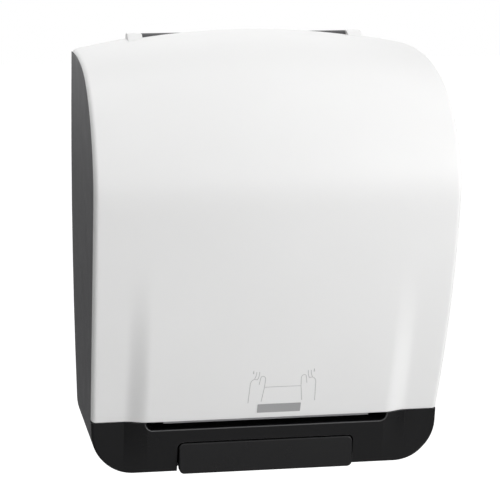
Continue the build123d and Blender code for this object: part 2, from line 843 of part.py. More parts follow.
with BuildPart() as pinch_springs:
    for side in (1, -1):
        x = side * (frame_outside + 4)
        start = pinch_shaft_radius + 0.45 + nip_gap
        foot = (x, pinch_y + start * pinch_out[0], pinch_z + start * pinch_out[1])
        with Locations(Plane(origin=foot, x_dir=(1, 0, 0), z_dir=(0, *pinch_out)).location):
            add(coil(3.0, 0.45, 1.6, lug_distance - 1.5 - 0.45 - start))
export(pinch_springs.part, "pinch_springs")

spring_post = rod(post_radius, -frame_outside, -frame_outside - 17, post_depth, post_level)
export(spring_post, "spring_post")

# ---- Towel drum with its grip rings, caps and shaft ----
ring_spots = [(k - (ring_count - 1) / 2) * ring_pitch for k in range(ring_count)]
slit_angle = 135.0
slit_tangent = (-12.0, 2.5)
blade_half = drum_length / 2 - cap_thickness - 2
edges_x = [-blade_half]
for x in ring_spots:
    edges_x += [x - ring_width / 2 - 1, x + ring_width / 2 + 1]
edges_x.append(blade_half)
blade_spans = [(edges_x[k], edges_x[k + 1]) for k in range(0, len(edges_x), 2)]

with BuildPart() as drum_shell:
    with BuildSketch(Plane.YZ.offset(-drum_length / 2)):
        with Locations(at(drum_depth, drum_level)):
            Circle(drum_radius)
            Circle(drum_radius - drum_wall, mode=Mode.SUBTRACT)
    extrude(amount=drum_length)
    for x in ring_spots:
        with BuildSketch(Plane.YZ.offset(x - ring_width / 2)):
            with Locations(at(drum_depth, drum_level)):
                Circle(drum_radius + 1)
                Circle(drum_radius - ring_bite, mode=Mode.SUBTRACT)
        extrude(amount=ring_width, mode=Mode.SUBTRACT)
    for low, high in blade_spans:
        with BuildSketch(Plane.YZ.offset(low - 0.8)):
            with Locations(Location((*at(drum_depth, drum_level), 0), (0, 0, slit_angle))):
                with Locations((drum_radius, sum(slit_tangent) / 2)):
                    Rectangle(4 * drum_wall, slit_tangent[1] - slit_tangent[0])
        extrude(amount=high - low + 1.6, mode=Mode.SUBTRACT)
export(drum_shell.part, "drum_shell")

with BuildPart() as grip_rings:
    for x in ring_spots:
        with BuildSketch(Plane.YZ.offset(x - ring_width / 2)):
            with Locations(at(drum_depth, drum_level)):
                Circle(drum_radius + ring_proud)
                Circle(drum_radius - ring_bite, mode=Mode.SUBTRACT)
        extrude(amount=ring_width)
export(grip_rings.part, "grip_rings")

knife_reach = 18.0
knife_pivot_y = -drum_depth + sqrt(2) * knife_reach * cos(radians(slit_angle - 45))
knife_pivot_z = level(drum_level) + sqrt(2) * knife_reach * sin(radians(slit_angle - 45))
knife_pin_radius = 1.5
collar_radius = 8.0

for name, side in (("drum_cap_right", 1), ("drum_cap_left", -1)):
    with BuildPart() as drum_cap:
        with BuildSketch(Plane.YZ.offset(side * (drum_length / 2 - cap_thickness))):
            with Locations(at(drum_depth, drum_level)):
                Circle(drum_radius - drum_wall)
        extrude(amount=side * cap_thickness)
        with BuildSketch(Plane.YZ.offset(side * drum_length / 2)):
            with Locations(at(drum_depth, drum_level)):
                Circle(collar_radius)
        extrude(amount=side * (frame_inside - bush_flange - 0.4 - drum_length / 2))
        with BuildSketch(Plane.YZ.offset(side * (drum_length / 2 - cap_thickness))):
            with Locations(at(drum_depth, drum_level)):
                Circle(drum_shaft_radius)
        extrude(amount=side * 30, mode=Mode.SUBTRACT)
        with BuildSketch(Plane.YZ.offset(side * (drum_length / 2 - cap_thickness))):
            with Locations((knife_pivot_y, knife_pivot_z)):
                Circle(knife_pin_radius + running)
        extrude(amount=side * (cap_thickness - 1.5), mode=Mode.SUBTRACT)
    export(drum_cap.part, name)

# the crank pin rests on the side of the spring's post, where the spring is shortest
crank_throw = 20.0
crank_angle = atan2(post_level - drum_level, drum_depth - post_depth)
crank_pin = (
    -drum_depth + crank_throw * cos(crank_angle),
    level(drum_level) + crank_throw * sin(crank_angle),
)
wheel_thickness = 4.4
hand_wheel_width = 12.0
hand_wheel_radius = 24.0
hand_wheel_start = gear_end + 3
drum_shaft = rod(
    drum_shaft_radius,
    -gear_start - wheel_thickness,
    hand_wheel_start + hand_wheel_width + 2,
    drum_depth,
    drum_level,
)
export(drum_shaft, "drum_shaft")

with BuildPart() as hand_wheel:
    with BuildSketch(Plane.YZ.offset(hand_wheel_start)):
        with Locations(at(drum_depth, drum_level)):
            Circle(hand_wheel_radius)
            Circle(drum_shaft_radius, mode=Mode.SUBTRACT)
            with PolarLocations(hand_wheel_radius + 1.2, 24):
                Circle(2.2, mode=Mode.SUBTRACT)
            with PolarLocations(0.55 * hand_wheel_radius, 6):
                Circle(4, mode=Mode.SUBTRACT)
    extrude(amount=hand_wheel_width)
export(hand_wheel.part, "hand_wheel")

with BuildPart() as crank_wheel:
    with BuildSketch(Plane.YZ.offset(-gear_start)):
        with Locations(at(drum_depth, drum_level)):
            Circle(crank_throw + 6)
            Circle(drum_shaft_radius, mode=Mode.SUBTRACT)
            with PolarLocations(crank_throw - 6, 5, degrees(crank_angle) + 36):
                Circle(4, mode=Mode.SUBTRACT)
    extrude(amount=-wheel_thickness)
    with BuildSketch(Plane.YZ.offset(-gear_start - wheel_thickness)):
        with Locations(crank_pin):
            Circle(post_radius)
    extrude(amount=-10)
export(crank_wheel.part, "crank_wheel")

spring_radius = 4.0
spring_wire = 0.6
hook_start = post_radius + spring_wire + 0.2
with BuildPart() as drive_spring:
    x = -gear_start - wheel_thickness - 5
    ends = [
        Vector(x, *at(post_depth, post_level)),
        Vector(x, *crank_pin),
    ]
    along = (ends[1] - ends[0]).normalized()
    body_start = 9.0
    body_end = (ends[1] - ends[0]).length - body_start
    for spot in ends:
        with Locations(Location(spot, (0, 90, 0))):
            Torus(hook_start, spring_wire)
    with Locations(Plane(ends[0] + along * body_start, (1, 0, 0), along).location):
        add(coil(spring_radius, spring_wire, 1.45, body_end - body_start))
    # straight tails from the end rings to the coil, and across to its wire
    for foot, length in ((hook_start, body_start - hook_start), (body_end, body_start - hook_start)):
        with Locations(Plane(ends[0] + along * foot, (1, 0, 0), along).location):
            Cylinder(spring_wire, length, align=(Align.CENTER, Align.CENTER, Align.MIN))
    for foot in (body_start, body_end):
        with Locations(Plane(ends[0] + along * foot, along, (1, 0, 0)).location):
            Cylinder(spring_wire, spring_radius, align=(Align.CENTER, Align.CENTER, Align.MIN))
export(drive_spring.part, "drive_spring")

# ---- Knife inside the drum ----
knife_length = hypot(drum_radius - 1 - knife_reach, knife_reach)
knife_lean = slit_angle + degrees(atan2(knife_reach, drum_radius - 1 - knife_reach))
blade_dir = (cos(radians(knife_lean)), sin(radians(knife_lean)))
blade_normal = (-blade_dir[1], blade_dir[0])
blade_thickness = 0.8
knife_plane = Plane(
    origin=(0, knife_pivot_y, knife_pivot_z), x_dir=(1, 0, 0), z_dir=(0, *blade_normal)
)
carrier_reach = 10.5
carrier_thickness = 3.0
blade_screw_radius = 1.2
blade_screw_spots = [(x, 7.0) for x in ring_spots]

with BuildPart() as knife_carrier:
    with BuildSketch(Plane.YZ.offset(-blade_half)):
        with Locations((knife_pivot_y, knife_pivot_z)):
            Circle(knife_pin_radius + 1.7)
    extrude(amount=2 * blade_half)
    with BuildSketch(knife_plane.offset(blade_thickness / 2)):
        Rectangle(2 * blade_half, carrier_reach, align=(Align.CENTER, Align.MIN))
    extrude(amount=carrier_thickness)
    with BuildSketch(knife_plane.offset(-blade_thickness / 2)):
        with Locations((0, 3.0)):
            Rectangle(2 * blade_half, carrier_reach, align=(Align.CENTER, Align.MIN))
    extrude(amount=blade_thickness, mode=Mode.SUBTRACT)
    with BuildSketch(knife_plane):
        with Locations(*blade_screw_spots):
            Circle(blade_screw_radius)
    extrude(amount=carrier_thickness + 2, mode=Mode.SUBTRACT)
    with BuildSketch(Plane.YZ.offset(-blade_half)):
        with Locations((knife_pivot_y, knife_pivot_z)):
            Circle(knife_pin_radius)
    extrude(amount=2 * blade_half, mode=Mode.SUBTRACT)
export(knife_carrier.part, "knife_carrier")

tooth_pitch = 2.0
tooth_depth = 1.4
with BuildPart() as knife_blade:
    with BuildSketch(knife_plane.offset(-blade_thickness / 2)):
        with Locations((0, 3.0)):
            Rectangle(2 * blade_half, carrier_reach - 3.0, align=(Align.CENTER, Align.MIN))
        for low, high in blade_spans:
            count = int((high - low) / tooth_pitch)
            pitch = (high - low) / count
            zigzag = [(high, carrier_reach - 0.5), (low, carrier_reach - 0.5)]
            for k in range(count):
                zigzag.append((low + k * pitch, knife_length - tooth_depth))
                zigzag.append((low + (k + 0.5) * pitch, knife_length))
            zigzag.append((high, knife_length - tooth_depth))
            Polygon(*zigzag, align=None)
        with Locations(*blade_screw_spots):
            Circle(blade_screw_radius, mode=Mode.SUBTRACT)
    extrude(amount=blade_thickness)
export(knife_blade.part, "knife_blade")

with BuildPart() as knife_pins:
    for side in (1, -1):
        with BuildSketch(Plane.YZ.offset(side * (blade_half - 10))):
            with Locations((knife_pivot_y, knife_pivot_z)):
                Circle(knife_pin_radius)
        extrude(amount=side * (12 + cap_thickness - 2))
export(knife_pins.part, "knife_pins")

with BuildPart() as blade_screws:
    for x, reach in blade_screw_spots:
        seat_plane = Plane(
            origin=knife_plane.from_local_coords((x, reach, -blade_thickness / 2)),
            x_dir=(1, 0, 0),
            z_dir=(0, -blade_normal[0], -blade_normal[1]),
        )
        with Locations(seat_plane.location):
            add(pan_screw(blade_screw_radius, 3.6))
export(blade_screws.part, "blade_screws")

# ---- Pinch roller ----
with BuildPart() as pinch_shaft:
    with BuildSketch(Plane.YZ.offset(-frame_outside - 7)):
        with Locations((pinch_y, pinch_z)):
            Circle(pinch_shaft_radius)
    extrude(amount=2 * (frame_outside + 7))
export(pinch_shaft.part, "pinch_shaft")

with BuildPart() as pinch_rollers:
    for x in ring_spots:
        with BuildSketch(Plane.YZ.offset(x - ring_width / 2)):
            with Locations((pinch_y, pinch_z)):
                Circle(pinch_roller_radius)
                Circle(pinch_shaft_radius, mode=Mode.SUBTRACT)
        extrude(amount=ring_width)
export(pinch_rollers.part, "pinch_rollers")

# ---- Roll arms and core hubs ----
arm_inside = 111.0
arm_thickness = 4.0
arm_head_radius = 17.0
arm_half_height = 20.0
stub_radius = 4.0
stub_end = 100.0
hub_screw_radius = 2.4
arm_pin_x = 122.0
arm_pin_depth = 24.0
arm_pin_radius = 2.5
arm_barrel_radius = 6.0
lug_thickness = 4.0
arm_spring_room = 7.0


def roll_arm_plate(side, rear):
    """The flat arm with the stub that carries the core hub."""
    with BuildPart() as plate:
        with BuildSketch(Plane.YZ.offset(side * arm_inside)):
            with Locations(at(roll_depth, roll_level)):
                Circle(arm_head_radius)
            Polygon(
                at(rear, roll_level - arm_half_height + lug_thickness + nip_gap),
                at(rear, roll_level + arm_half_height - lug_thickness - nip_gap),
                at(roll_depth, roll_level + arm_head_radius),
                at(roll_depth, roll_level - arm_head_radius),
                align=None,
            )
        extrude(amount=side * arm_thickness)
        with BuildSketch(Plane.YZ.offset(side * arm_inside)):
            with Locations(at(roll_depth, roll_level)):
                Circle(stub_radius)
        extrude(amount=-side * (arm_inside - stub_end))
        with BuildSketch(Plane.YZ.offset(side * stub_end)):
            with Locations(at(roll_depth, roll_level)):
                Circle(hub_screw_radius)
        extrude(amount=side * 10, mode=Mode.SUBTRACT)
    return plate.part


def flange_plate(side, inner):
    """The plate that a roll arm is screwed to the back wall with."""
    with BuildPart() as plate:
        with BuildSketch(Plane.XZ.offset(frame_rear)):
            outer = frame_outside + flange_width
            with Locations((side * (inner + outer) / 2, level(roll_level))):
                Rectangle(outer - inner, 2 * arm_half_height)
            for height in arm_boss_levels:
                with Locations((side * boss_x, level(height))):
                    Circle(screw_radius + 0.3, mode=Mode.SUBTRACT)
        extrude(amount=flange_thickness)
    return plate.part


with BuildPart() as roll_arm_left:
    add(roll_arm_plate(-1, frame_rear))
    add(flange_plate(-1, arm_inside))
export(roll_arm_left.part, "roll_arm_left")

with BuildPart() as arm_bracket:
    add(flange_plate(1, frame_inside))
    for low in (roll_level - arm_half_height, roll_level + arm_half_height - lug_thickness):
        with BuildSketch(Plane.XY.offset(level(low))):
            with Locations((arm_pin_x, -arm_pin_depth)):
                Circle(arm_barrel_radius)
            with Locations((arm_pin_x, -(frame_rear + arm_pin_depth) / 2)):
                Rectangle(2 * arm_barrel_radius, arm_pin_depth - frame_rear)
            with Locations((arm_pin_x, -arm_pin_depth)):
                Circle(arm_pin_radius, mode=Mode.SUBTRACT)
        extrude(amount=lug_thickness)
export(arm_bracket.part, "arm_bracket")

with BuildPart() as arm_pin:
    with BuildSketch(Plane.XY.offset(level(roll_level - arm_half_height - 2))):
        with Locations((arm_pin_x, -arm_pin_depth)):
            Circle(arm_pin_radius)
    extrude(amount=2 * arm_half_height + 4)
    with BuildSketch(Plane.XY.offset(level(roll_level + arm_half_height))):
        with Locations((arm_pin_x, -arm_pin_depth)):
            Circle(arm_pin_radius + 1.5)
    extrude(amount=2)
export(arm_pin.part, "arm_pin")

with BuildPart() as roll_arm_right:
    add(roll_arm_plate(1, arm_pin_depth - 5))
    barrel_low = roll_level - arm_half_height + lug_thickness + arm_spring_room
    barrel_high = roll_level + arm_half_height - lug_thickness - nip_gap
    with BuildSketch(Plane.XY.offset(level(barrel_low))):
        with Locations((arm_pin_x, -arm_pin_depth)):
            Circle(arm_barrel_radius)
        with Locations(((arm_inside + arm_pin_x) / 2, -arm_pin_depth)):
            Rectangle(arm_pin_x - arm_inside, 10)
        with Locations((arm_pin_x, -arm_pin_depth)):
            Circle(arm_pin_radius + running, mode=Mode.SUBTRACT)
    extrude(amount=barrel_high - barrel_low)
export(roll_arm_right.part, "roll_arm_right")

with BuildPart() as arm_spring:
    with Locations((arm_pin_x, -arm_pin_depth, level(barrel_low - arm_spring_room + 1))):
        add(coil(arm_pin_radius + 1.2, 0.5, 1.2, 4 * 1.2))
    with Locations(
        (
            (arm_pin_x + arm_inside + arm_thickness) / 2,
            -arm_pin_depth - arm_pin_radius - 1.2,
            level(barrel_low - arm_spring_room + 1),
        )
    ):
        Box(arm_pin_x - arm_inside - arm_thickness - 0.6, 1, 1)
export(arm_spring.part, "arm_spring")

with BuildPart() as arm_screws:
    for side in (1, -1):
        for height in arm_boss_levels:
            with Locations(Location((side * boss_x, seat, level(height)), (90, 0, 0))):
                add(pan_screw(screw_radius, 9))
export(arm_screws.part, "arm_screws")

hub_flange_radius = 24.0
for name, side in (("core_hub_right", 1), ("core_hub_left", -1)):
    with BuildPart() as core_hub:
        with BuildSketch(Plane.YZ.offset(side * (arm_inside - 0.3))):
            with Locations(at(roll_depth, roll_level)):
                Circle(hub_flange_radius)
        extrude(amount=-side * 2)
        with BuildSketch(Plane.YZ.offset(side * (arm_inside - 2.3))):
            with Locations(at(roll_depth, roll_level)):
                Circle(core_radius)
        extrude(amount=-side * 12, taper=3)
        with BuildSketch(Plane.YZ.offset(side * (arm_inside - 0.3))):
            with Locations(at(roll_depth, roll_level)):
                Circle(stub_radius + running)
        extrude(amount=-side * 20, mode=Mode.SUBTRACT)
        with BuildSketch(Plane.YZ.offset(side * (stub_end + 0.4))):
            with Locations(at(roll_depth, roll_level)):
                Circle(8)
        extrude(amount=-side * 10, mode=Mode.SUBTRACT)
    export(core_hub.part, name)

for name, side in (("hub_screw_right", 1), ("hub_screw_left", -1)):
    with BuildPart() as hub_screw:
        spot = (side * stub_end, *at(roll_depth, roll_level))
        with Locations(Location(spot, (0, -side * 90, 0))):
            add(pan_screw(hub_screw_radius, 9))
    export(hub_screw.part, name)

# ---- Lock in the right side wall ----
lock_face = side_x(lock_level)
plug_radius = 6.5
plug_start = cam_x + cam_thickness + 0.8

with BuildPart() as lock_body:
    with BuildSketch(Plane.YZ.offset(plug_start)):
        with Locations(at(lock_depth, lock_level)):
            Circle(lock_radius)
            Circle(plug_radius + running, mode=Mode.SUBTRACT)
    extrude(amount=lock_face - plug_start)
export(lock_body.part, "lock_body")

with BuildPart() as lock_nut:
    with BuildSketch(Plane.YZ.offset(lock_face - wall - 5)):
        with Locations(at(lock_depth, lock_level)):
            RegularPolygon(lock_radius + 5, 6)
            Circle(lock_radius, mode=Mode.SUBTRACT)
    extrude(amount=4.5)
export(lock_nut.part, "lock_nut")

with BuildPart() as lock_plug:
    with BuildSketch(Plane.YZ.offset(plug_start)):
        with Locations(at(lock_depth, lock_level)):
            Circle(plug_radius)
    extrude(amount=lock_face - plug_start)
    with BuildSketch(Plane.YZ.offset(cam_x - 0.4)):
        with Locations(at(lock_depth, lock_level)):
            Circle(3)
    extrude(amount=plug_start - cam_x + 0.4)
    with BuildSketch(Plane.YZ.offset(lock_face)):
        with Locations(at(lock_depth, lock_level)):
            Rectangle(1.4, 7)
    extrude(amount=-4, mode=Mode.SUBTRACT)
    with BuildSketch(Plane.YZ.offset(cam_x - 0.4)):
        with Locations(at(lock_depth, lock_level)):
            Circle(1.5)
    extrude(amount=8, mode=Mode.SUBTRACT)
export(lock_plug.part, "lock_plug")

hook_reach = catch_depth - lock_depth
with BuildPart() as lock_cam:
    with BuildSketch(Plane.YZ.offset(cam_x)):
        with Locations(Location((*at(lock_depth, lock_level), 0), (0, 0, -90))):
            Circle(6.5)
            Polygon(
                (0, 6.4),
                (-hook_reach - 8, 9.5),
                (-hook_reach - 8, -3),
                (-hook_reach - 4.6, -3),
                (-hook_reach - 4.6, 5),
                (-hook_reach + 6, 5),
                (-5, -4),
                align=None,
            )
            Circle(3, mode=Mode.SUBTRACT)
    extrude(amount=cam_thickness)
export(lock_cam.part, "lock_cam")

with BuildPart() as cam_screw:
    spot = (cam_x - 0.4, *at(lock_depth, lock_level))
    with Locations(Location(spot, (0, -90, 0))):
        add(pan_screw(1.5, 6))
    with BuildSketch(Plane.YZ.offset(cam_x - 0.4)):
        with Locations(at(lock_depth, lock_level)):
            Circle(4.2)
    extrude(amount=-0.8)
export(cam_screw.part, "cam_screw")
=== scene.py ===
import bmesh
import bpy
import numpy as np
from mathutils import Matrix, Vector


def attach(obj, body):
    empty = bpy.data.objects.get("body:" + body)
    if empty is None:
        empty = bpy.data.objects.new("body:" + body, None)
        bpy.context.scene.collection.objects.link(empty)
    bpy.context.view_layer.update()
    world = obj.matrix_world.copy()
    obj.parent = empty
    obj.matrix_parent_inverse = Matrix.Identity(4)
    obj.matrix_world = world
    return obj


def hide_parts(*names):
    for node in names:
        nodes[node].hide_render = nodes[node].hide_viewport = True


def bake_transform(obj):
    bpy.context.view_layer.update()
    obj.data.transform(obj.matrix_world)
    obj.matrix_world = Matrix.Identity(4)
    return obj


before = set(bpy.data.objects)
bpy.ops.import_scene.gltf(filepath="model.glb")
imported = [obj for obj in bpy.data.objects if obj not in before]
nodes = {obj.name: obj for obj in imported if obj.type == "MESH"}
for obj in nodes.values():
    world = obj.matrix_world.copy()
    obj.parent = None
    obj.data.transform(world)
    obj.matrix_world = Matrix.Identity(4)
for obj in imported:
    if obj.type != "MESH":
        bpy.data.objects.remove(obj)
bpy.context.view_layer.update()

# ---- Rear housing ----
# Back wall, side walls, floor and hinge barrel are one injection moulding in black ABS. Its
# outside comes from a spark-eroded mould, so it is satin, and greys a little at a low angle.


def new_material(name, colour, metallic, roughness):
    """A material with a Principled shader, and the shader itself."""
    material = bpy.data.materials.new(name)
    material.use_nodes = True
    shader = material.node_tree.nodes["Principled BSDF"]
    shader.inputs["Base Color"].default_value = (*colour, 1)
    shader.inputs["Metallic"].default_value = metallic
    shader.inputs["Roughness"].default_value = roughness
    return material, shader


def object_noise(material, scale, detail, stretch=(1, 1, 1)):
    """Noise of so many cells to a metre over the piece's own coordinates, stretched per axis."""
    tree = material.node_tree
    place = tree.nodes.new("ShaderNodeTexCoord")
    mapping = tree.nodes.new("ShaderNodeMapping")
    mapping.inputs["Scale"].default_value = stretch
    noise = tree.nodes.new("ShaderNodeTexNoise")
    noise.inputs["Scale"].default_value = scale
    noise.inputs["Detail"].default_value = detail
    tree.links.new(place.outputs["Object"], mapping.inputs["Vector"])
    tree.links.new(mapping.outputs["Vector"], noise.inputs["Vector"])
    return noise.outputs["Fac"]


def spread(material, signal, low, high):
    """Turns a 0.3 to 0.7 noise signal into a value between low and high."""
    tree = material.node_tree
    span = tree.nodes.new("ShaderNodeMapRange")
    span.inputs["From Min"].default_value = 0.3
    span.inputs["From Max"].default_value = 0.7
    span.inputs["To Min"].default_value = low
    span.inputs["To Max"].default_value = high
    tree.links.new(signal, span.inputs["Value"])
    return span.outputs["Result"]


def colour_mix(tree, signal):
    """Two colour sockets, and the socket of their mix: the first at signal 0, the second at 1."""
    mix = tree.nodes.new("ShaderNodeMix")
    mix.data_type = "RGBA"
    tree.links.new(signal, mix.inputs[0])
    return mix.inputs[6], mix.inputs[7], mix.outputs[2]


def tint(material, shader, signal, dark, light):
    """Base colour that goes from dark to light with a 0 to 1 signal."""
    first, second, mixed = colour_mix(material.node_tree, signal)
    first.default_value = (*dark, 1)
    second.default_value = (*light, 1)
    material.node_tree.links.new(mixed, shader.inputs["Base Color"])


def relief(material, shader, signal, height):
    """Raises the surface by height, in metres, with a 0 to 1 signal."""
    tree = material.node_tree
    bump = tree.nodes.new("ShaderNodeBump")
    bump.inputs["Strength"].default_value = 1
    bump.inputs["Distance"].default_value = height
    tree.links.new(signal, bump.inputs["Height"])
    tree.links.new(bump.outputs["Normal"], shader.inputs["Normal"])


def moulded_plastic(name, colour, roughness, grain, grain_height, mottle=0.06):
    """A moulded plastic: the mould's grain raises it, and slow clouds shift its colour and gloss.

    Grain is the number of its cells to a metre. Colour moves by the mottle share each way, and
    roughness by 0.04 each way.
    """
    material, shader = new_material(name, colour, 0, roughness)
    clouds = object_noise(material, 22, 3)
    tint(
        material,
        shader,
        spread(material, clouds, 0, 1),
        [c * (1 - mottle) for c in colour],
        [c * (1 + mottle) for c in colour],
    )
    gloss = spread(material, clouds, roughness - 0.04, roughness + 0.04)
    material.node_tree.links.new(gloss, shader.inputs["Roughness"])
    relief(material, shader, object_noise(material, grain, 2), grain_height)
    return material


def finish(material, *names):
    """Gives CAD nodes their material."""
    for name in names:
        for holder in nodes[name].material_slots:
            holder.material = material


eroded_black = moulded_plastic("eroded_black_abs", (0.03, 0.03, 0.033), 0.46, 1500, 0.00004)
finish(eroded_black, "rear_housing")

# ---- Outlet fascia and its screws ----
# The black band under the cover is a second ABS moulding with the towel slot and the lever's
# opening. It is screwed up through the housing's floor, and polished smoother than the housing.
satin_black = moulded_plastic("satin_black_abs", (0.004, 0.004, 0.0045), 0.3, 900, 0.000012)
satin_shader = satin_black.node_tree.nodes["Principled BSDF"]
satin_shader.inputs["Specular IOR Level"].default_value = 0.2


def painted_edge_highlight(material, shader, radius, colour):
    """Painted highlight on edges: a paler colour comes in where the surface turns within radius.

    The turn is how far the product of the rounded normal and the surface's own falls below 1.
    """
    tree = material.node_tree
    rounded = tree.nodes.new("ShaderNodeBevel")
    rounded.inputs["Radius"].default_value = radius
    flat = tree.nodes.new("ShaderNodeNewGeometry")
    agree = tree.nodes.new("ShaderNodeVectorMath")
    agree.operation = "DOT_PRODUCT"
    tree.links.new(rounded.outputs["Normal"], agree.inputs[0])
    tree.links.new(flat.outputs["Normal"], agree.inputs[1])
    turn = tree.nodes.new("ShaderNodeMapRange")
    turn.inputs["From Min"].default_value = 0.995
    turn.inputs["From Max"].default_value = 0.85
    tree.links.new(agree.outputs["Value"], turn.inputs["Value"])
    plain, highlight, mixed = colour_mix(tree, turn.outputs["Result"])
    highlight.default_value = (*colour, 1)
    tree.links.new(shader.inputs["Base Color"].links[0].from_socket, plain)
    tree.links.new(mixed, shader.inputs["Base Color"])


# the pale edge colour is painted highlight along the fascia's and the lever's edges and the slot's
# lip
edge_highlight_radius = 0.0009
painted_edge_highlight(satin_black, satin_shader, edge_highlight_radius, (0.12, 0.12, 0.123))
finish(satin_black, "outlet_fascia")


def plated_steel(name, colour, roughness, stretch, lines, line_height):
    """A metal with fine lines along one axis, and patches where the plating is duller.

    The lines are noise squeezed along that axis by stretch. The same noise moves roughness by
    0.08 each way, and the patches darken the colour by up to an eighth.
    """
    material, shader = new_material(name, colour, 1, roughness)
    patches = object_noise(material, 90, 4)
    tint(material, shader, spread(material, patches, 0, 1), [0.88 * c for c in colour], colour)
    drawn = object_noise(material, lines, 2, stretch)
    gloss = spread(material, drawn, roughness - 0.08, roughness + 0.08)
    material.node_tree.links.new(gloss, shader.inputs["Roughness"])
    relief(material, shader, drawn, line_height)
    return material


zinc_screw = plated_steel("zinc_plated_screw", (0.56, 0.57, 0.6), 0.32, (1, 1, 1), 1400, 0.00001)
finish(zinc_screw, "fascia_screws")

# ---- Side frames, tie rods and towel chute ----
# Two grey glass-filled nylon plates carry the mechanism. They are screwed to the back wall, held
# apart by steel rods, and the chute between them leads the towel down to the slot.
filled_nylon = moulded_plastic("glass_filled_nylon", (0.2, 0.21, 0.23), 0.5, 700, 0.00005, 0.12)
finish(filled_nylon, "side_frame_right", "side_frame_left", "towel_chute", "arm_bracket")

drawn_steel = plated_steel("drawn_steel_rod", (0.58, 0.58, 0.59), 0.26, (0.02, 1, 1), 2600, 0.000008)
finish(drawn_steel, "tie_rods", "spring_post", "hinge_pins")
finish(zinc_screw, "frame_screws", "arm_screws")

# ---- Bushes and gears ----
# The drum's bushes, the lever's gear sector and the drum's pinion are natural acetal, which is
# slightly see-through at thin edges and feels waxy. They are pressed or clipped in place.


def natural_acetal(name, colour):
    """An off-white waxy plastic: light goes a little way in, and the gloss is soft and even."""
    material, shader = new_material(name, colour, 0, 0.38)
    shader.inputs["Subsurface Weight"].default_value = 0.18
    shader.inputs["Subsurface Scale"].default_value = 0.002
    clouds = object_noise(material, 45, 3)
    tint(
        material,
        shader,
        spread(material, clouds, 0, 1),
        [c * k for c, k in zip(colour, (0.96, 0.94, 0.88))],
        colour,
    )
    relief(material, shader, object_noise(material, 1100, 2), 0.00001)
    return material


acetal = natural_acetal("natural_acetal", (0.72, 0.71, 0.66))
finish(acetal, "shaft_bushes", "gear_sector", "drive_pinion")

# ---- Push lever on its shaft ----
# The lever is the same satin black ABS as the fascia, snapped on a steel shaft with spring
# clips. Two small torsion springs push it back out.
finish(satin_black, "push_lever")
finish(drawn_steel, "lever_shaft")
spring_wire = plated_steel("spring_wire", (0.4, 0.4, 0.42), 0.34, (1, 1, 1), 1900, 0.000006)
finish(spring_wire, "lever_springs", "shaft_clips", "pinch_springs", "arm_spring")

# ---- Towel drum ----
# The drum is a light grey ABS tube with end caps on a steel shaft. Rubber bands in its grooves
# grip the towel, and a coloured wheel at its right end turns it by hand.
drum_grey = moulded_plastic("drum_grey_abs", (0.4, 0.41, 0.43), 0.42, 800, 0.00003)
finish(drum_grey, "drum_shell", "drum_cap_right", "drum_cap_left", "crank_wheel")
touch_blue = moulded_plastic("touch_blue_abs", (0.07, 0.17, 0.36), 0.4, 900, 0.00003)
finish(touch_blue, "hand_wheel")


def grip_rubber(name):
    """Matt black rubber: coarse soft pores, and a pale bloom of dust on half of it."""
    material, shader = new_material(name, (0.03, 0.03, 0.03), 0, 0.82)
    bloom = object_noise(material, 140, 5)
    bare, dusty = (0.022, 0.022, 0.022), (0.05, 0.049, 0.047)
    tint(material, shader, spread(material, bloom, 0, 1), bare, dusty)
    shader.inputs["Sheen Weight"].default_value = 0.15
    shader.inputs["Sheen Roughness"].default_value = 0.5
    relief(material, shader, object_noise(material, 900, 4), 0.00012)
    return material


rubber = grip_rubber("grip_rubber")
finish(rubber, "grip_rings", "pinch_rollers")
finish(drawn_steel, "drum_shaft", "pinch_shaft")

# ---- Knife inside the drum ----
# A toothed steel blade on a nylon carrier swings out through the drum's slits and cuts the
# towel. Its faces are ground across, and it is held by small screws.
finish(filled_nylon, "knife_carrier")
ground_blade = plated_steel("ground_blade", (0.66, 0.66, 0.67), 0.22, (1, 0.03, 0.03), 1500, 0.00001)
finish(ground_blade, "knife_blade")
finish(drawn_steel, "knife_pins")
finish(zinc_screw, "blade_screws")

# ---- Drive spring ----
# A tension spring of 1.2 mm wire runs from a post on the left frame to the crank wheel's pin.
# It is wound in one piece, and each end is bent into a ring over its pin.
spring_turns = 23
spring_ring = 0.0038
spring_coil = 0.004
spring_wire_radius = 0.0006
spring_lead = 0.009
ring_turn = 1.75 * np.pi
points_in_turn = 22
post_spot = np.array((-0.129, -0.035, -0.058))
pin_spot = np.array((-0.129, -0.07846, -0.08752))


def hermite(start, start_way, end, end_way, share):
    """A cubic from start to end that sets out along start_way and comes in along end_way."""
    t = share[:, None]
    return (
        (2 * t**3 - 3 * t**2 + 1) * start
        + (t**3 - 2 * t**2 + t) * start_way
        + (3 * t**2 - 2 * t**3) * end
        + (t**3 - t**2) * end_way
    )


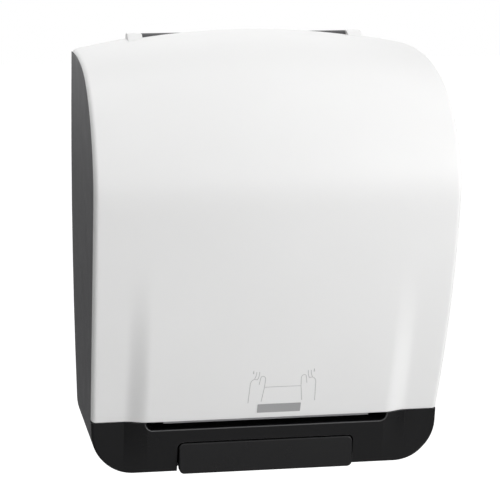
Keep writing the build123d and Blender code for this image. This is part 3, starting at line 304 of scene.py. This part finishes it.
def spring_path(start, end):
    """Centre line of the spring, and a way out of it that each ring of the wire turns with.

    Round each pin the line is a circle in the plane across the pin. Between them it is a helix
    about the straight line from pin to pin. Cubics lead from each circle into the helix.
    """
    length = np.linalg.norm(end - start)
    along = (end - start) / length
    across = np.array((1.0, 0, 0))
    beside = np.cross(along, across)
    first = np.linspace(-ring_turn, 0, 40)[:, None]
    last = -first[::-1]
    way_first = along * np.cos(first) + beside * np.sin(first)
    way_last = -along * np.cos(last) - beside * np.sin(last)
    turn = np.linspace(0, 2 * np.pi * spring_turns, points_in_turn * spring_turns)[:, None]
    way_coil = beside * np.cos(turn) + across * np.sin(turn)
    advance = spring_lead + (length - 2 * spring_lead) * turn / turn[-1]
    coil = start + along * advance + spring_coil * way_coil
    ring_first = start + spring_ring * way_first
    ring_last = end + spring_ring * way_last
    share = np.linspace(0, 1, 12)[1:-1]
    reach = 1.3 * spring_coil  # how hard the cubics hold their end directions
    into = hermite(ring_first[-1], reach * beside, coil[0], reach * across, share)
    out_of = hermite(coil[-1], reach * across, ring_last[0], -reach * beside, share)
    fade = share[:, None]
    path = np.vstack((ring_first, into, coil, out_of, ring_last))
    ways = np.vstack(
        (
            way_first,
            (1 - fade) * along + fade * beside,
            way_coil,
            (1 - fade) * beside - fade * along,
            way_last,
        )
    )
    return path, ways


def unit(vectors):
    """Vectors at length 1, along the last axis."""
    return vectors / np.linalg.norm(vectors, axis=-1, keepdims=True)


def wire_grid(path, ways, radius, sides=10):
    """A round wire: at each point of the path a circle across the path's direction.

    The circle's first radius is the way out of the path, made square to the path.
    """
    along = unit(np.gradient(path, axis=0))
    outward = unit(ways - along * (ways * along).sum(axis=1, keepdims=True))
    beside = np.cross(along, outward)
    angle = np.linspace(0, 2 * np.pi, sides, endpoint=False)
    spokes = outward[:, None] * np.cos(angle)[:, None] + beside[:, None] * np.sin(angle)[:, None]
    return path[:, None] + radius * spokes


def tube_faces(rings, sides):
    """Faces of a tube of rings of so many sides, with a flat cap at each end."""
    start = np.arange(rings - 1)[:, None] * sides
    here = np.arange(sides)[None, :]
    after = (here + 1) % sides
    walls = np.stack((start + here, start + after, start + sides + after, start + sides + here), 2)
    caps = [list(range(sides))[::-1], list(range((rings - 1) * sides, rings * sides))]
    return walls.reshape(-1, 4).tolist() + caps


def new_piece(name, points, faces, material, sharp_from=40):
    """A mesh object at the origin from points and faces, shaded smooth but for sharp edges."""
    mesh = bpy.data.meshes.new(name)
    mesh.from_pydata(np.asarray(points).reshape(-1, 3).tolist(), [], faces)
    form = bmesh.new()
    form.from_mesh(mesh)
    bmesh.ops.remove_doubles(form, verts=form.verts, dist=1e-6)
    form.to_mesh(mesh)
    form.free()
    mesh.shade_smooth()
    mesh.set_sharp_from_angle(angle=np.radians(sharp_from))
    mesh.materials.append(material)
    piece = bpy.data.objects.new(name, mesh)
    bpy.context.scene.collection.objects.link(piece)
    return piece


path, ways = spring_path(post_spot, pin_spot)
wire = wire_grid(path, ways, spring_wire_radius)
drive_spring_coil = new_piece(
    "drive_spring_coil", wire, tube_faces(*wire.shape[:2]), spring_wire, sharp_from=60
)
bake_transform(drive_spring_coil)
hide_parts("drive_spring")

# ---- Slot bead ----
# A polished half round bead is moulded round the lower lip of the towel slot, so that paper
# slides over it. It ends just under the cover.
mount_height = 0.210
bead_centre = np.array((0.108, 0.051))
bead_corner = 0.0077
bead_radius = 0.0006
bead_sides = 12
before_case = -0.3


def level(height):
    """Z of a height above the bottom of the case."""
    return height - mount_height


def lip_path():
    """The lip as x and height: most of a quarter circle at each end and a straight line between."""
    turn = np.radians(np.linspace(-4, -90, 14))[:, None]
    corner = bead_centre + bead_corner * np.hstack((np.cos(turn), np.sin(turn)))
    straight = np.linspace(bead_centre[0], 0, 30, endpoint=False)[1:, None]
    half = np.vstack((corner, np.hstack((straight, 0 * straight + corner[-1, 1]))))
    return np.vstack((half * (-1, 1), half[::-1]))


fascia = nodes["outlet_fascia"]
lip = []
for x, height in lip_path():
    spot = fascia.matrix_world.inverted() @ Vector((x, before_case, level(height)))
    way = fascia.matrix_world.inverted().to_3x3() @ Vector((0, 1, 0))
    lip.append(fascia.matrix_world @ fascia.ray_cast(spot, way)[1])
lip = np.array(lip)
bead_grid = wire_grid(lip, np.broadcast_to((0, -1.0, 0), lip.shape), bead_radius, bead_sides)
# the bead's black is much paler than the fascia's: painted highlight along the slot's lip, while its
# low roughness is real polish
polished_bead_painted_highlight = moulded_plastic("polished_bead_abs_painted_highlight", (0.045, 0.045, 0.047), 0.16, 900, 0.000004)
slot_bead = new_piece("slot_bead", bead_grid, tube_faces(len(lip), bead_sides), polished_bead_painted_highlight)
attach(slot_bead, "housing")

# ---- Roll arms and core hubs ----
# The towel roll hangs between two arms of the frames' nylon. The right arm swings out on a pin
# against a spring, and each arm has an acetal hub on a shouldered screw that the core fits over.
finish(filled_nylon, "roll_arm_right", "roll_arm_left")
finish(drawn_steel, "arm_pin")
finish(acetal, "core_hub_right", "core_hub_left")
finish(zinc_screw, "hub_screw_right", "hub_screw_left")

# ---- Lock ----
# A nickel plated barrel lock in the right side wall, held by a hexagonal nut from inside. Its
# stamped hook drops over the pin of the cover's catch arm.
nickel = plated_steel("nickel_plated_brass", (0.7, 0.69, 0.66), 0.18, (1, 1, 1), 700, 0.000004)
finish(nickel, "lock_body", "lock_nut", "lock_plug")
stamped_steel = plated_steel("stamped_steel", (0.5, 0.5, 0.51), 0.36, (1, 1, 1), 500, 0.00001)
finish(stamped_steel, "lock_cam")
finish(zinc_screw, "cam_screw")

# ---- Cover skin ----
# The cover is one polished white ABS skin, 2.8 mm thick, over the front and the top. Its rim
# follows the front edge of the side walls with a shadow gap, and it hangs on two knuckles.
case_half = 0.1675
side_bow = 0.0025
widest_height = 0.230
bow_span = 0.190
deepest_height = 0.285
cover_foot = 0.052
side_top, crown_rise = 0.385, 0.019
side_depth, crown_depth, foot_depth = 0.212, 0.004, 0.142
seam_top, seam_depth, seam_foot_depth = 0.3834, 0.2064, 0.1364
top_knots, front_knots = 9, 8
depth_fullness, top_fullness = 3.3, 1.65
front_power = 1.5
panel_rise, panel_half, panel_flank = 0.007, 0.135, 0.022
panel_top, panel_fade = 0.230, 0.178
skin_wall = 0.0028
edge_radius = 0.0045
foot_radius = 0.0008
skin_rear = 0.005
notch_rear = 0.0196
notch_half = 0.1002
skin_columns = 149
skin_rows = 150
notch_rows = 4


def side_reach(height):
    """Half the case's width: a parabola, narrower by side_bow at bow_span from its widest."""
    return case_half - side_bow * ((height - widest_height) / bow_span) ** 2


def front_lean(height, deepest, lowest):
    """Depth below the deepest level: it falls back with the front_power of the way down."""
    drop = (deepest_height - height) / (deepest_height - cover_foot)
    return deepest - (deepest - lowest) * drop**front_power


def ease(share):
    """A soft step from 0 to 1."""
    share = np.clip(share, 0, 1)
    return share * share * (3 - 2 * share)


def skin_knots(x, deepest, top, lowest, rise):
    """Points over the rounded top and down the front, one row for each knot.

    Over the top, depth goes with the cosine of an angle to the power 2 / depth_fullness, and
    height with its sine to the power 2 / top_fullness. Down the front, depth follows front_lean,
    and the middle panel adds its rise, eased out across its flanks and upwards.
    """
    share = np.linspace(0, 1, top_knots)[:, None]
    angle = np.pi / 2 * (1 - share)
    reach = np.abs(np.cos(angle)) ** (2 / depth_fullness)
    reach[0] = 0
    x_top, x_front = x[:top_knots], x[top_knots:]
    depth_top = deepest[:top_knots] * reach
    rounding = np.sin(angle) ** (2 / top_fullness)
    height_top = deepest_height + (top[:top_knots] - deepest_height) * rounding
    height = deepest_height * (1 - share[1:]) + 0 * x_front
    across_panel = ease((panel_half - np.abs(x_front)) / panel_flank)
    panel = across_panel * ease((panel_top - height) / panel_fade)
    depth = front_lean(height, deepest[top_knots:], lowest) + rise * panel
    depths = np.vstack((depth_top, depth))
    heights = np.vstack((height_top + 0 * x_top, height))
    return np.stack((x, -depths, level(heights)), axis=2)


def through(knots, places):
    """A natural cubic spline through each column of knots, read at places counted in knots.

    Its bends at the knots solve the usual three-term equations over the knots' chord lengths.
    """
    count, columns = knots.shape[:2]
    gaps = np.linalg.norm(np.diff(knots, axis=0), axis=2)
    system = np.zeros((columns, count, count))
    system[:, 0, 0] = system[:, -1, -1] = 1
    inner = np.arange(1, count - 1)
    system[:, inner, inner - 1] = gaps[:-1].T
    system[:, inner, inner] = 2 * (gaps[:-1] + gaps[1:]).T
    system[:, inner, inner + 1] = gaps[1:].T
    right = np.zeros((columns, count, knots.shape[2]))
    slopes = np.diff(knots, axis=0) / gaps[..., None]
    right[:, 1:-1] = 6 * np.diff(slopes, axis=0).transpose(1, 0, 2)
    bends = np.linalg.solve(system, right).transpose(1, 0, 2)
    span = np.clip(places.astype(int), 0, count - 2)
    after = (places - span)[:, None, None]
    before = 1 - after
    bend = (before**3 - before) * bends[span] + (after**3 - after) * bends[span + 1]
    return before * knots[span] + after * knots[span + 1] + gaps[span][..., None] ** 2 / 6 * bend


# the side edge at each knot sets how far the columns reach there
edge_x = np.full((top_knots + front_knots, 1), case_half)
edge_knots = skin_knots(
    edge_x, edge_x * 0 + side_depth, edge_x * 0 + side_top, foot_depth, panel_rise
)
edge_heights = edge_knots[..., 2] + mount_height
across = np.linspace(-1, 1, skin_columns)
notch_share = notch_half / (side_reach(side_top) - edge_radius)
for side in (-1, 1):
    across[np.abs(across - side * notch_share).argmin()] = side * notch_share
x = across[None, :] * (side_reach(edge_heights) - edge_radius)
crown = 1 - np.minimum(1, np.abs(x) / case_half) ** 2
knots = skin_knots(
    x, side_depth + crown_depth * crown, side_top + crown_rise * crown, foot_depth, panel_rise
)

# rows start at the rear edge, and again at the front of the notch for the housing's barrel
middle_knots = knots[:, skin_columns // 2][:, None]
rear_places = np.linspace(0, 1, 400)
rear = -through(middle_knots, rear_places)[:, 0, 1]
start, notch = np.interp((skin_rear, notch_rear), rear, rear_places)
low_places = np.linspace(14, 15, 400)  # the foot lies between these two knots
low = through(middle_knots, low_places)[:, 0, 2]
foot = np.interp(-level(cover_foot + foot_radius), -low, low_places)
places = np.concatenate(
    (np.linspace(start, notch, notch_rows + 1)[:-1], np.linspace(notch, foot, skin_rows))
)
skin = through(knots, places)
skin[0, :, 1] = -skin_rear
skin[notch_rows, :, 1] = -notch_rear
skin[-1, :, 2] = level(cover_foot + foot_radius)
outward = unit(np.cross(np.gradient(skin, axis=0), np.gradient(skin, axis=1)))


def seam_outline():
    """The side walls' front edge grown by the 0.4 mm gap, as depth and height."""
    knots = skin_knots(
        edge_x, edge_x * 0 + seam_depth, edge_x * 0 + seam_top, seam_foot_depth, rise=0
    )
    return through(knots, np.linspace(0, len(knots) - 1, 4000))[:, 0, 1:]


def side_edge(side):
    """Outer and inner columns from the skin's side edge round to the rim at the seam.

    Outside, an arc leaves the skin along its own slope and ends square on the case's side, and
    the flange runs straight back to the seam. The inside is the same, nearer by the wall. Where
    the seam is closer than the arc is deep, both stop at the seam.
    """
    edge = skin[:, -1 if side > 0 else 0]
    normal = outward[:, -1 if side > 0 else 0]
    slope = np.arcsin(np.clip(side * normal[:, 0], 0, 0.9))
    back = unit(normal * (0, 1, 1))
    radius = (side_reach(edge[:, 2] + mount_height) - np.abs(edge[:, 0])) / (1 - np.sin(slope))
    room = np.linalg.norm(edge[:, None, 1:] - seam_outline()[None], axis=2).min(axis=1)
    last = np.arccos(np.clip(np.cos(slope) - room / radius, 0, 1))
    turn = slope + (last - slope) * np.linspace(0, 1, 9)[1:, None]
    centre = np.abs(edge[:, 0]) - radius * np.sin(slope)

    def columns(arc_radius, limit):
        """Nine-step arc and four-step flange, as columns of points from the skin outwards."""
        reach = centre + arc_radius * np.sin(turn)
        set_back = np.minimum(radius * np.cos(slope) - arc_radius * np.cos(turn), limit)
        flange = set_back[-1] + (limit - set_back[-1]) * np.linspace(0, 1, 5)[1:, None]
        reach = np.vstack((reach, np.repeat(reach[-1:], 4, axis=0)))
        set_back = np.vstack((set_back, flange))
        spots = edge[None] - back[None] * set_back[..., None]
        spots[..., 0] = side * reach
        return spots.transpose(1, 0, 2)

    return columns(radius, room), columns(radius - skin_wall, room), room, back


outer_right, inner_right, room, back = side_edge(1)
outer_left, inner_left = side_edge(-1)[:2]
above_seam = room[:, None] + ((skin - skin[:, -1:]) * back[:, None]).sum(axis=2)
thickness = np.minimum(skin_wall, above_seam)
inside = skin - thickness[..., None] * outward
outer = np.concatenate((outer_left[:, ::-1], skin, outer_right), axis=1)
inner = np.concatenate((inner_left[:, ::-1], inside, inner_right), axis=1)


def rounded_foot(grid, radius):
    """Three more rows down to the foot, which fall back by radius along a quarter circle."""
    way = grid[-1] - grid[-2]
    way = way / -way[:, 2:]
    facing = np.cross(np.gradient(grid[-2:], axis=0)[1], np.gradient(grid[-1], axis=0))
    facing = unit(facing * (1, 1, 0))
    turn = np.radians((30, 60, 90))[:, None, None]
    rows = grid[-1] + foot_radius * np.sin(turn) * way - radius * (1 - np.cos(turn)) * facing
    return np.concatenate((grid, rows))


outer = rounded_foot(outer, foot_radius)
inner = rounded_foot(inner, 0)
kept = np.ones((outer.shape[0] - 1, outer.shape[1] - 1), bool)
first_main = outer_left.shape[1]
in_notch = np.abs(across) <= notch_share + 1e-9
notch_cells = np.flatnonzero(in_notch[:-1] & in_notch[1:]) + first_main
kept[:notch_rows, notch_cells] = False


def shell_faces(cells, columns, count):
    """Faces of a closed wall between an outer and an inner grid of points.

    Each kept cell is a face of the outer grid and, turned round, of the inner one. Each edge with
    a kept cell on one side only gets a face across the wall.
    """
    rows, places_across = np.nonzero(cells)
    corner = rows * columns + places_across
    face = np.stack((corner, corner + columns, corner + columns + 1, corner + 1), axis=1)
    begin = face.ravel()
    end = np.roll(face, -1, axis=1).ravel()
    open_edge = ~np.isin(begin * count + end, end * count + begin)
    begin, end = begin[open_edge], end[open_edge]
    rim = np.stack((end, begin, begin + count, end + count), axis=1)
    return np.vstack((face, face[:, ::-1] + count, rim))


faces = shell_faces(kept, outer.shape[1], outer[..., 0].size)
used, faces = np.unique(faces, return_inverse=True)
points = np.concatenate((outer.reshape(-1, 3), inner.reshape(-1, 3)))[used]


def polished_white(name, colour):
    """Polished white ABS: a hard even gloss, with the slow waves that cooling leaves in it."""
    material, shader = new_material(name, colour, 0, 0.42)
    clouds = object_noise(material, 9, 2)
    tint(material, shader, spread(material, clouds, 0, 1), [0.985 * c for c in colour], colour)
    gloss = spread(material, object_noise(material, 260, 4), 0.39, 0.45)
    material.node_tree.links.new(gloss, shader.inputs["Roughness"])
    relief(material, shader, object_noise(material, 420, 2), 0.000006)
    return material


white_abs = polished_white("polished_white_abs", (0.85, 0.85, 0.847))
cover_skin = new_piece("cover_skin", points, faces.reshape(-1, 4).tolist(), white_abs)
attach(cover_skin, "cover")
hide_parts("front_cover")
finish(white_abs, "cover_catch")

# ---- Cover knuckles ----
# Each end of the cover's rear edge carries a moulded knuckle, bored for a hinge pin. Its arm
# runs forward under the skin and stiffens it.
knuckle_spot = (0.011, 0.394)
knuckle_radius = 0.007
knuckle_length = 0.014
knuckle_bore = 0.00205
knuckle_arm = np.array(
    ((0.011, 0.387), (0.011, 0.401), (0.021, 0.401), (0.033, 0.395), (0.033, 0.391), (0.023, 0.387))
)


def reach_to(outline, angle):
    """How far rays from the origin go to leave a convex outline."""
    side = np.roll(outline, -1, axis=0) - outline
    ray = np.stack((np.cos(angle), np.sin(angle)), axis=1)
    crossing = ray[:, None, 0] * side[None, :, 1] - ray[:, None, 1] * side[None, :, 0]
    crossing = np.where(np.abs(crossing) < 1e-12, 1e-12, crossing)
    far = (outline[:, 0] * side[:, 1] - outline[:, 1] * side[:, 0])[None] / crossing
    place = (outline[None, :, 0] * ray[:, 1:] - outline[None, :, 1] * ray[:, :1]) / crossing
    hit = (far > -1e-9) & (place > -1e-6) & (place < 1 + 1e-6)
    return np.where(hit, far, 0).max(axis=1)


def bored_block(near, far, rounding=0.0005):
    """A knuckle between two values of x: its outline goes round the bore once.

    Its section from the bore out to the outline and back has corners cut by the rounding.
    """
    angle = np.linspace(0, 2 * np.pi, 120, endpoint=False)
    outline = knuckle_arm - knuckle_spot
    reach = np.maximum(knuckle_radius, reach_to(outline, angle))
    small = reach - rounding
    hole = np.full_like(reach, knuckle_bore)
    radii = np.stack((hole, small, reach, reach, small, hole), axis=1)
    along = np.array((near, near, near + rounding, far - rounding, far, far))
    spots = np.empty((*radii.shape, 3))
    spots[..., 0] = along
    spots[..., 1] = -(knuckle_spot[0] + radii * np.cos(angle)[:, None])
    spots[..., 2] = level(knuckle_spot[1] + radii * np.sin(angle)[:, None])
    return spots


def ring_faces(around, section):
    """Faces of a section carried once round and closed both ways."""
    here = np.arange(around)[:, None]
    place_in = np.arange(section)[None, :]
    onward, after = (here + 1) % around, (place_in + 1) % section
    corners = (
        here * section + place_in,
        here * section + after,
        onward * section + after,
        onward * section + place_in,
    )
    return np.stack(np.broadcast_arrays(*corners), axis=2).reshape(-1, 4).tolist()


knuckle_starts = (
    ("cover_knuckle_right", notch_half),
    ("cover_knuckle_left", -notch_half - knuckle_length),
)
for name, near in knuckle_starts:
    block = bored_block(near, near + knuckle_length)
    knuckle = new_piece(name, block, ring_faces(*block.shape[:2]), white_abs, sharp_from=30)
    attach(knuckle, "cover")

# ---- Hand symbol on the cover ----
# Two plain hands that pull a sheet, with a drop over each, are printed in grey above the label.
# The ink stands a tenth of a millimetre proud of the skin.
symbol_middle = 0.0118
ink_width = 0.0008
ink_height = 0.00012
# one half of the symbol, as distance from its middle and height, in millimetres
hand_strokes = (
    ((17.3, 85.5), (18.0, 80.5), (18.6, 75.5), (19.3, 70)),
    ((31.0, 89), (31.2, 82.5), (31.5, 75.5), (31.7, 69)),
    ((31.0, 89), (30.2, 92.1), (27.5, 94.3), (24.6, 93.7)),
    ((17.3, 85.5), (17.0, 91.5), (18.2, 96.9), (20.4, 97.3), (21.7, 94.3), (22.6, 88.5)),
    ((24.6, 93.7), (23.4, 97.1), (22.9, 102.1)),
    ((27.5, 94.3), (26.2, 97.7), (25.6, 102.1)),
)
drop_spot = (28.6, 101.9)
sheet_edge = ((-17.3, 85.5), (-6, 85.6), (6, 85.6), (17.3, 85.5))
drop_height, drop_half = 4.0, 0.0009
dome_places = np.array((-1, -0.6, 0, 0.6, 1))
dome_lift = ink_height * np.array((-0.5, 0.8, 1, 0.8, -0.5))


def on_skin(x, height, lift):
    """Points on the cover's skin at x and height, raised by lift along the skin's own normal."""
    row = np.interp(-level(height), -skin[:, skin_columns // 2, 2], np.arange(len(skin)))
    column = (x / (side_reach(height) - edge_radius) + 1) / 2 * (skin_columns - 1)
    i, j = row.astype(int), column.astype(int)
    u, v = (row - i)[..., None], (column - j)[..., None]

    def read(grid):
        near = (1 - v) * grid[i, j] + v * grid[i, j + 1]
        return (1 - u) * near + u * ((1 - v) * grid[i + 1, j] + v * grid[i + 1, j + 1])

    return read(skin) + lift[..., None] * read(outward)


def ink_stroke(stroke, width, samples=24):
    """A stroke of ink: a low dome five points wide, carried along a spline on the skin."""
    points = np.array(stroke, float)[:, None] * 0.001
    line = through(points, np.linspace(0, len(stroke) - 1, samples))[:, 0]
    way = unit(np.gradient(line, axis=0))
    sideways = np.stack((-way[:, 1], way[:, 0]), axis=1)
    offsets = dome_places * width / 2
    flat = line[:, None] + sideways[:, None] * offsets[:, None]
    return flat, np.broadcast_to(dome_lift, flat.shape[:2])


def drop_stroke(spot):
    """A filled drop: a stroke that is pointed at its top and full at its foot."""
    share = np.linspace(0, 1, 16)
    fall = spot[1] + drop_height / 2 - drop_height * share
    centre = np.stack((0 * share + spot[0], fall), axis=1) * 0.001
    half = drop_half * np.sqrt(np.clip(1 - (2 * share - 1) ** 2, 0, 1)) * (0.35 + 0.65 * share)
    offsets = dome_places * half[:, None]
    flat = centre[:, None] + np.stack((offsets, 0 * offsets), axis=2)
    return flat, np.broadcast_to(dome_lift, flat.shape[:2])


def strip_faces(rows, columns, turned):
    """Faces of an open grid of points, turned round for a mirrored strip."""
    corner = (np.arange(rows - 1)[:, None] * columns + np.arange(columns - 1)).ravel()
    face = np.stack((corner, corner + columns, corner + columns + 1, corner + 1), axis=1)
    return face[:, ::-1] if turned else face


hand = [ink_stroke(stroke, ink_width) for stroke in hand_strokes] + [drop_stroke(drop_spot)]
marks = [(side, mark) for side in (1, -1) for mark in hand]
marks.append((1, ink_stroke(sheet_edge, ink_width, 40)))
ink_points, ink_faces, count = [], [], 0
for side, (flat, lift) in marks:
    spots = on_skin(symbol_middle + side * flat[..., 0], flat[..., 1], lift)
    facing = np.cross(spots[-1, 0] - spots[0, 0], spots[0, -1] - spots[0, 0])
    ink_points.append(spots.reshape(-1, 3))
    ink_faces.append(strip_faces(*spots.shape[:2], facing[1] > 0) + count)
    count += spots[..., 0].size


def printed_ink(name, colour):
    """Pad printed ink: matt, and a little thinner here and there."""
    material, shader = new_material(name, colour, 0, 0.55)
    thin = object_noise(material, 1800, 3)
    tint(material, shader, spread(material, thin, 0, 1), colour, [1.25 * c for c in colour])
    relief(material, shader, thin, 0.00001)
    return material


grey_ink = printed_ink("grey_ink", (0.46, 0.46, 0.46))
hand_symbol = new_piece(
    "hand_symbol", np.vstack(ink_points), np.vstack(ink_faces).tolist(), grey_ink
)
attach(hand_symbol, "cover")

# ---- Label plate and tear strip ----
# A bare grey plate fills the recess above the slot. Inside the cover's foot a strip of toothed
# grey sheet lets a towel be torn by hand.
label_grey = moulded_plastic("label_grey_foil", (0.36, 0.36, 0.365), 0.36, 2600, 0.000008, 0.05)
finish(label_grey, "label_plate")
strip_grey = moulded_plastic("strip_grey_sheet", (0.3, 0.3, 0.31), 0.4, 1600, 0.00001)
finish(strip_grey, "tear_strip")

# ---- Studio ----
# A white floor under the hanging case and a white room round it. A lit ceiling, softboxes at the
# right and in front and two weak ones behind light it, and the camera stands in front, a little
# left and above.
room_light = 0.05
floor_level = -1.5
floor_half = 14.0
floor_corners = 9


def seen_rays(tree, *kinds):
    """1 on camera rays and on the other kinds of ray named, and 0 on what lights things."""
    ray = tree.nodes.new("ShaderNodeLightPath")
    seen = ray.outputs["Is Camera Ray"]
    for kind in kinds:
        either = tree.nodes.new("ShaderNodeMath")
        either.operation = "MAXIMUM"
        tree.links.new(seen, either.inputs[0])
        tree.links.new(ray.outputs[kind], either.inputs[1])
        seen = either.outputs[0]
    return seen


def white_room(name, strength):
    """A world of even weak light that the camera and polished surfaces see as white."""
    world = bpy.data.worlds.new(name)
    world.use_nodes = True
    tree = world.node_tree
    light = tree.nodes["Background"]
    light.inputs["Color"].default_value = (1, 1, 1, 1)
    strengths = tree.nodes.new("ShaderNodeMapRange")
    strengths.inputs["To Min"].default_value = strength
    strengths.inputs["To Max"].default_value = 1
    seen = seen_rays(tree, "Is Glossy Ray", "Is Transmission Ray")
    tree.links.new(seen, strengths.inputs["Value"])
    tree.links.new(strengths.outputs["Result"], light.inputs["Strength"])
    return world


bpy.context.scene.world = white_room("white_room", room_light)


def pale_floor(name):
    """Matt white floor paint with slow clouds, lifted to white for the camera and through glass.

    In reflections it keeps its own shade, which darkens the lower half of what polish shows.
    """
    material, shader = new_material(name, (0.8, 0.8, 0.8), 0, 0.9)
    clouds = object_noise(material, 2, 3)
    tint(material, shader, spread(material, clouds, 0, 1), (0.79, 0.79, 0.79), (0.82, 0.82, 0.82))
    tree = material.node_tree
    shader.inputs["Emission Color"].default_value = (1, 1, 1, 1)
    seen = seen_rays(tree, "Is Transmission Ray")
    tree.links.new(seen, shader.inputs["Emission Strength"])
    return material


corners = np.linspace(-floor_half, floor_half, floor_corners)
floor_x, floor_y = np.meshgrid(corners, corners)
floor_points = np.stack((floor_x, floor_y, 0 * floor_x + floor_level), axis=2)
floor_faces = strip_faces(floor_corners, floor_corners, True).tolist()
floor = new_piece("studio_floor", floor_points, floor_faces, pale_floor("floor_paint"))


def softbox(name, spot, aim, width, height, power):
    """A flat rectangular light at spot that faces aim."""
    light = bpy.data.lights.new(name, "AREA")
    light.shape = "RECTANGLE"
    light.size, light.size_y, light.energy = width, height, power
    lamp = bpy.data.objects.new(name, light)
    spot, aim = np.array(spot, float), np.array(aim, float)
    facing = unit(spot - aim)
    right = unit(np.cross((0, 0, 1.0), facing))
    up = np.cross(facing, right)
    turned = np.eye(4)
    turned[:3, :4] = np.stack((right, up, facing, spot), axis=1)
    lamp.matrix_world = Matrix(turned.tolist())
    bpy.context.scene.collection.objects.link(lamp)
    return lamp


case_middle = (0, -0.1, 0)
case_top = (0, -0.1, 0.2)
# the ceiling's spot is a millimetre off straight above its aim, which softbox can't turn to
softbox("ceiling_softbox", (-1.2, -1.001, 3.0), (-1.2, -1.0, 0), 6.0, 6.0, power=92)
softbox("right_softbox", (1.75, -1.45, 0.6), case_middle, 1.9, 1.9, power=37)
softbox("front_softbox", (1.1, -3.1, 0.2), case_middle, 3.2, 3.0, power=36)
softbox("rear_softbox", (-1.1, 0.9, 2.2), case_top, 2.0, 2.0, power=18)
softbox("crown_softbox", (0, 2.0, 1.3), case_top, 1.6, 1.6, power=5)

view_spot = np.array((-0.362, -2.124, 0.4128))
view_yaw, view_pitch, view_roll = np.radians((9.909, -11.547, 0.153))
frame_pixels, focal_pixels = 500, 2215
sensor_width = 36
camera_data = bpy.data.cameras.new("view_camera")
camera_data.sensor_width = sensor_width
camera_data.lens = sensor_width * focal_pixels / frame_pixels
camera = bpy.data.objects.new("view_camera", camera_data)
forward = np.array(
    (
        np.sin(view_yaw) * np.cos(view_pitch),
        np.cos(view_yaw) * np.cos(view_pitch),
        np.sin(view_pitch),
    )
)
level_right = unit(np.cross(forward, (0, 0, 1.0)))
level_up = np.cross(level_right, forward)
camera_right = level_right * np.cos(view_roll) + level_up * np.sin(view_roll)
camera_up = level_up * np.cos(view_roll) - level_right * np.sin(view_roll)
placed = np.eye(4)
placed[:3, :4] = np.stack((camera_right, camera_up, -forward, view_spot), axis=1)
camera.matrix_world = Matrix(placed.tolist())
bpy.context.scene.collection.objects.link(camera)
bpy.context.scene.camera = camera
bpy.context.scene.view_settings.view_transform = "Standard"


def plain(box):
    """A box as plain lists of numbers."""
    return [[float(value) for value in corner] for corner in box]
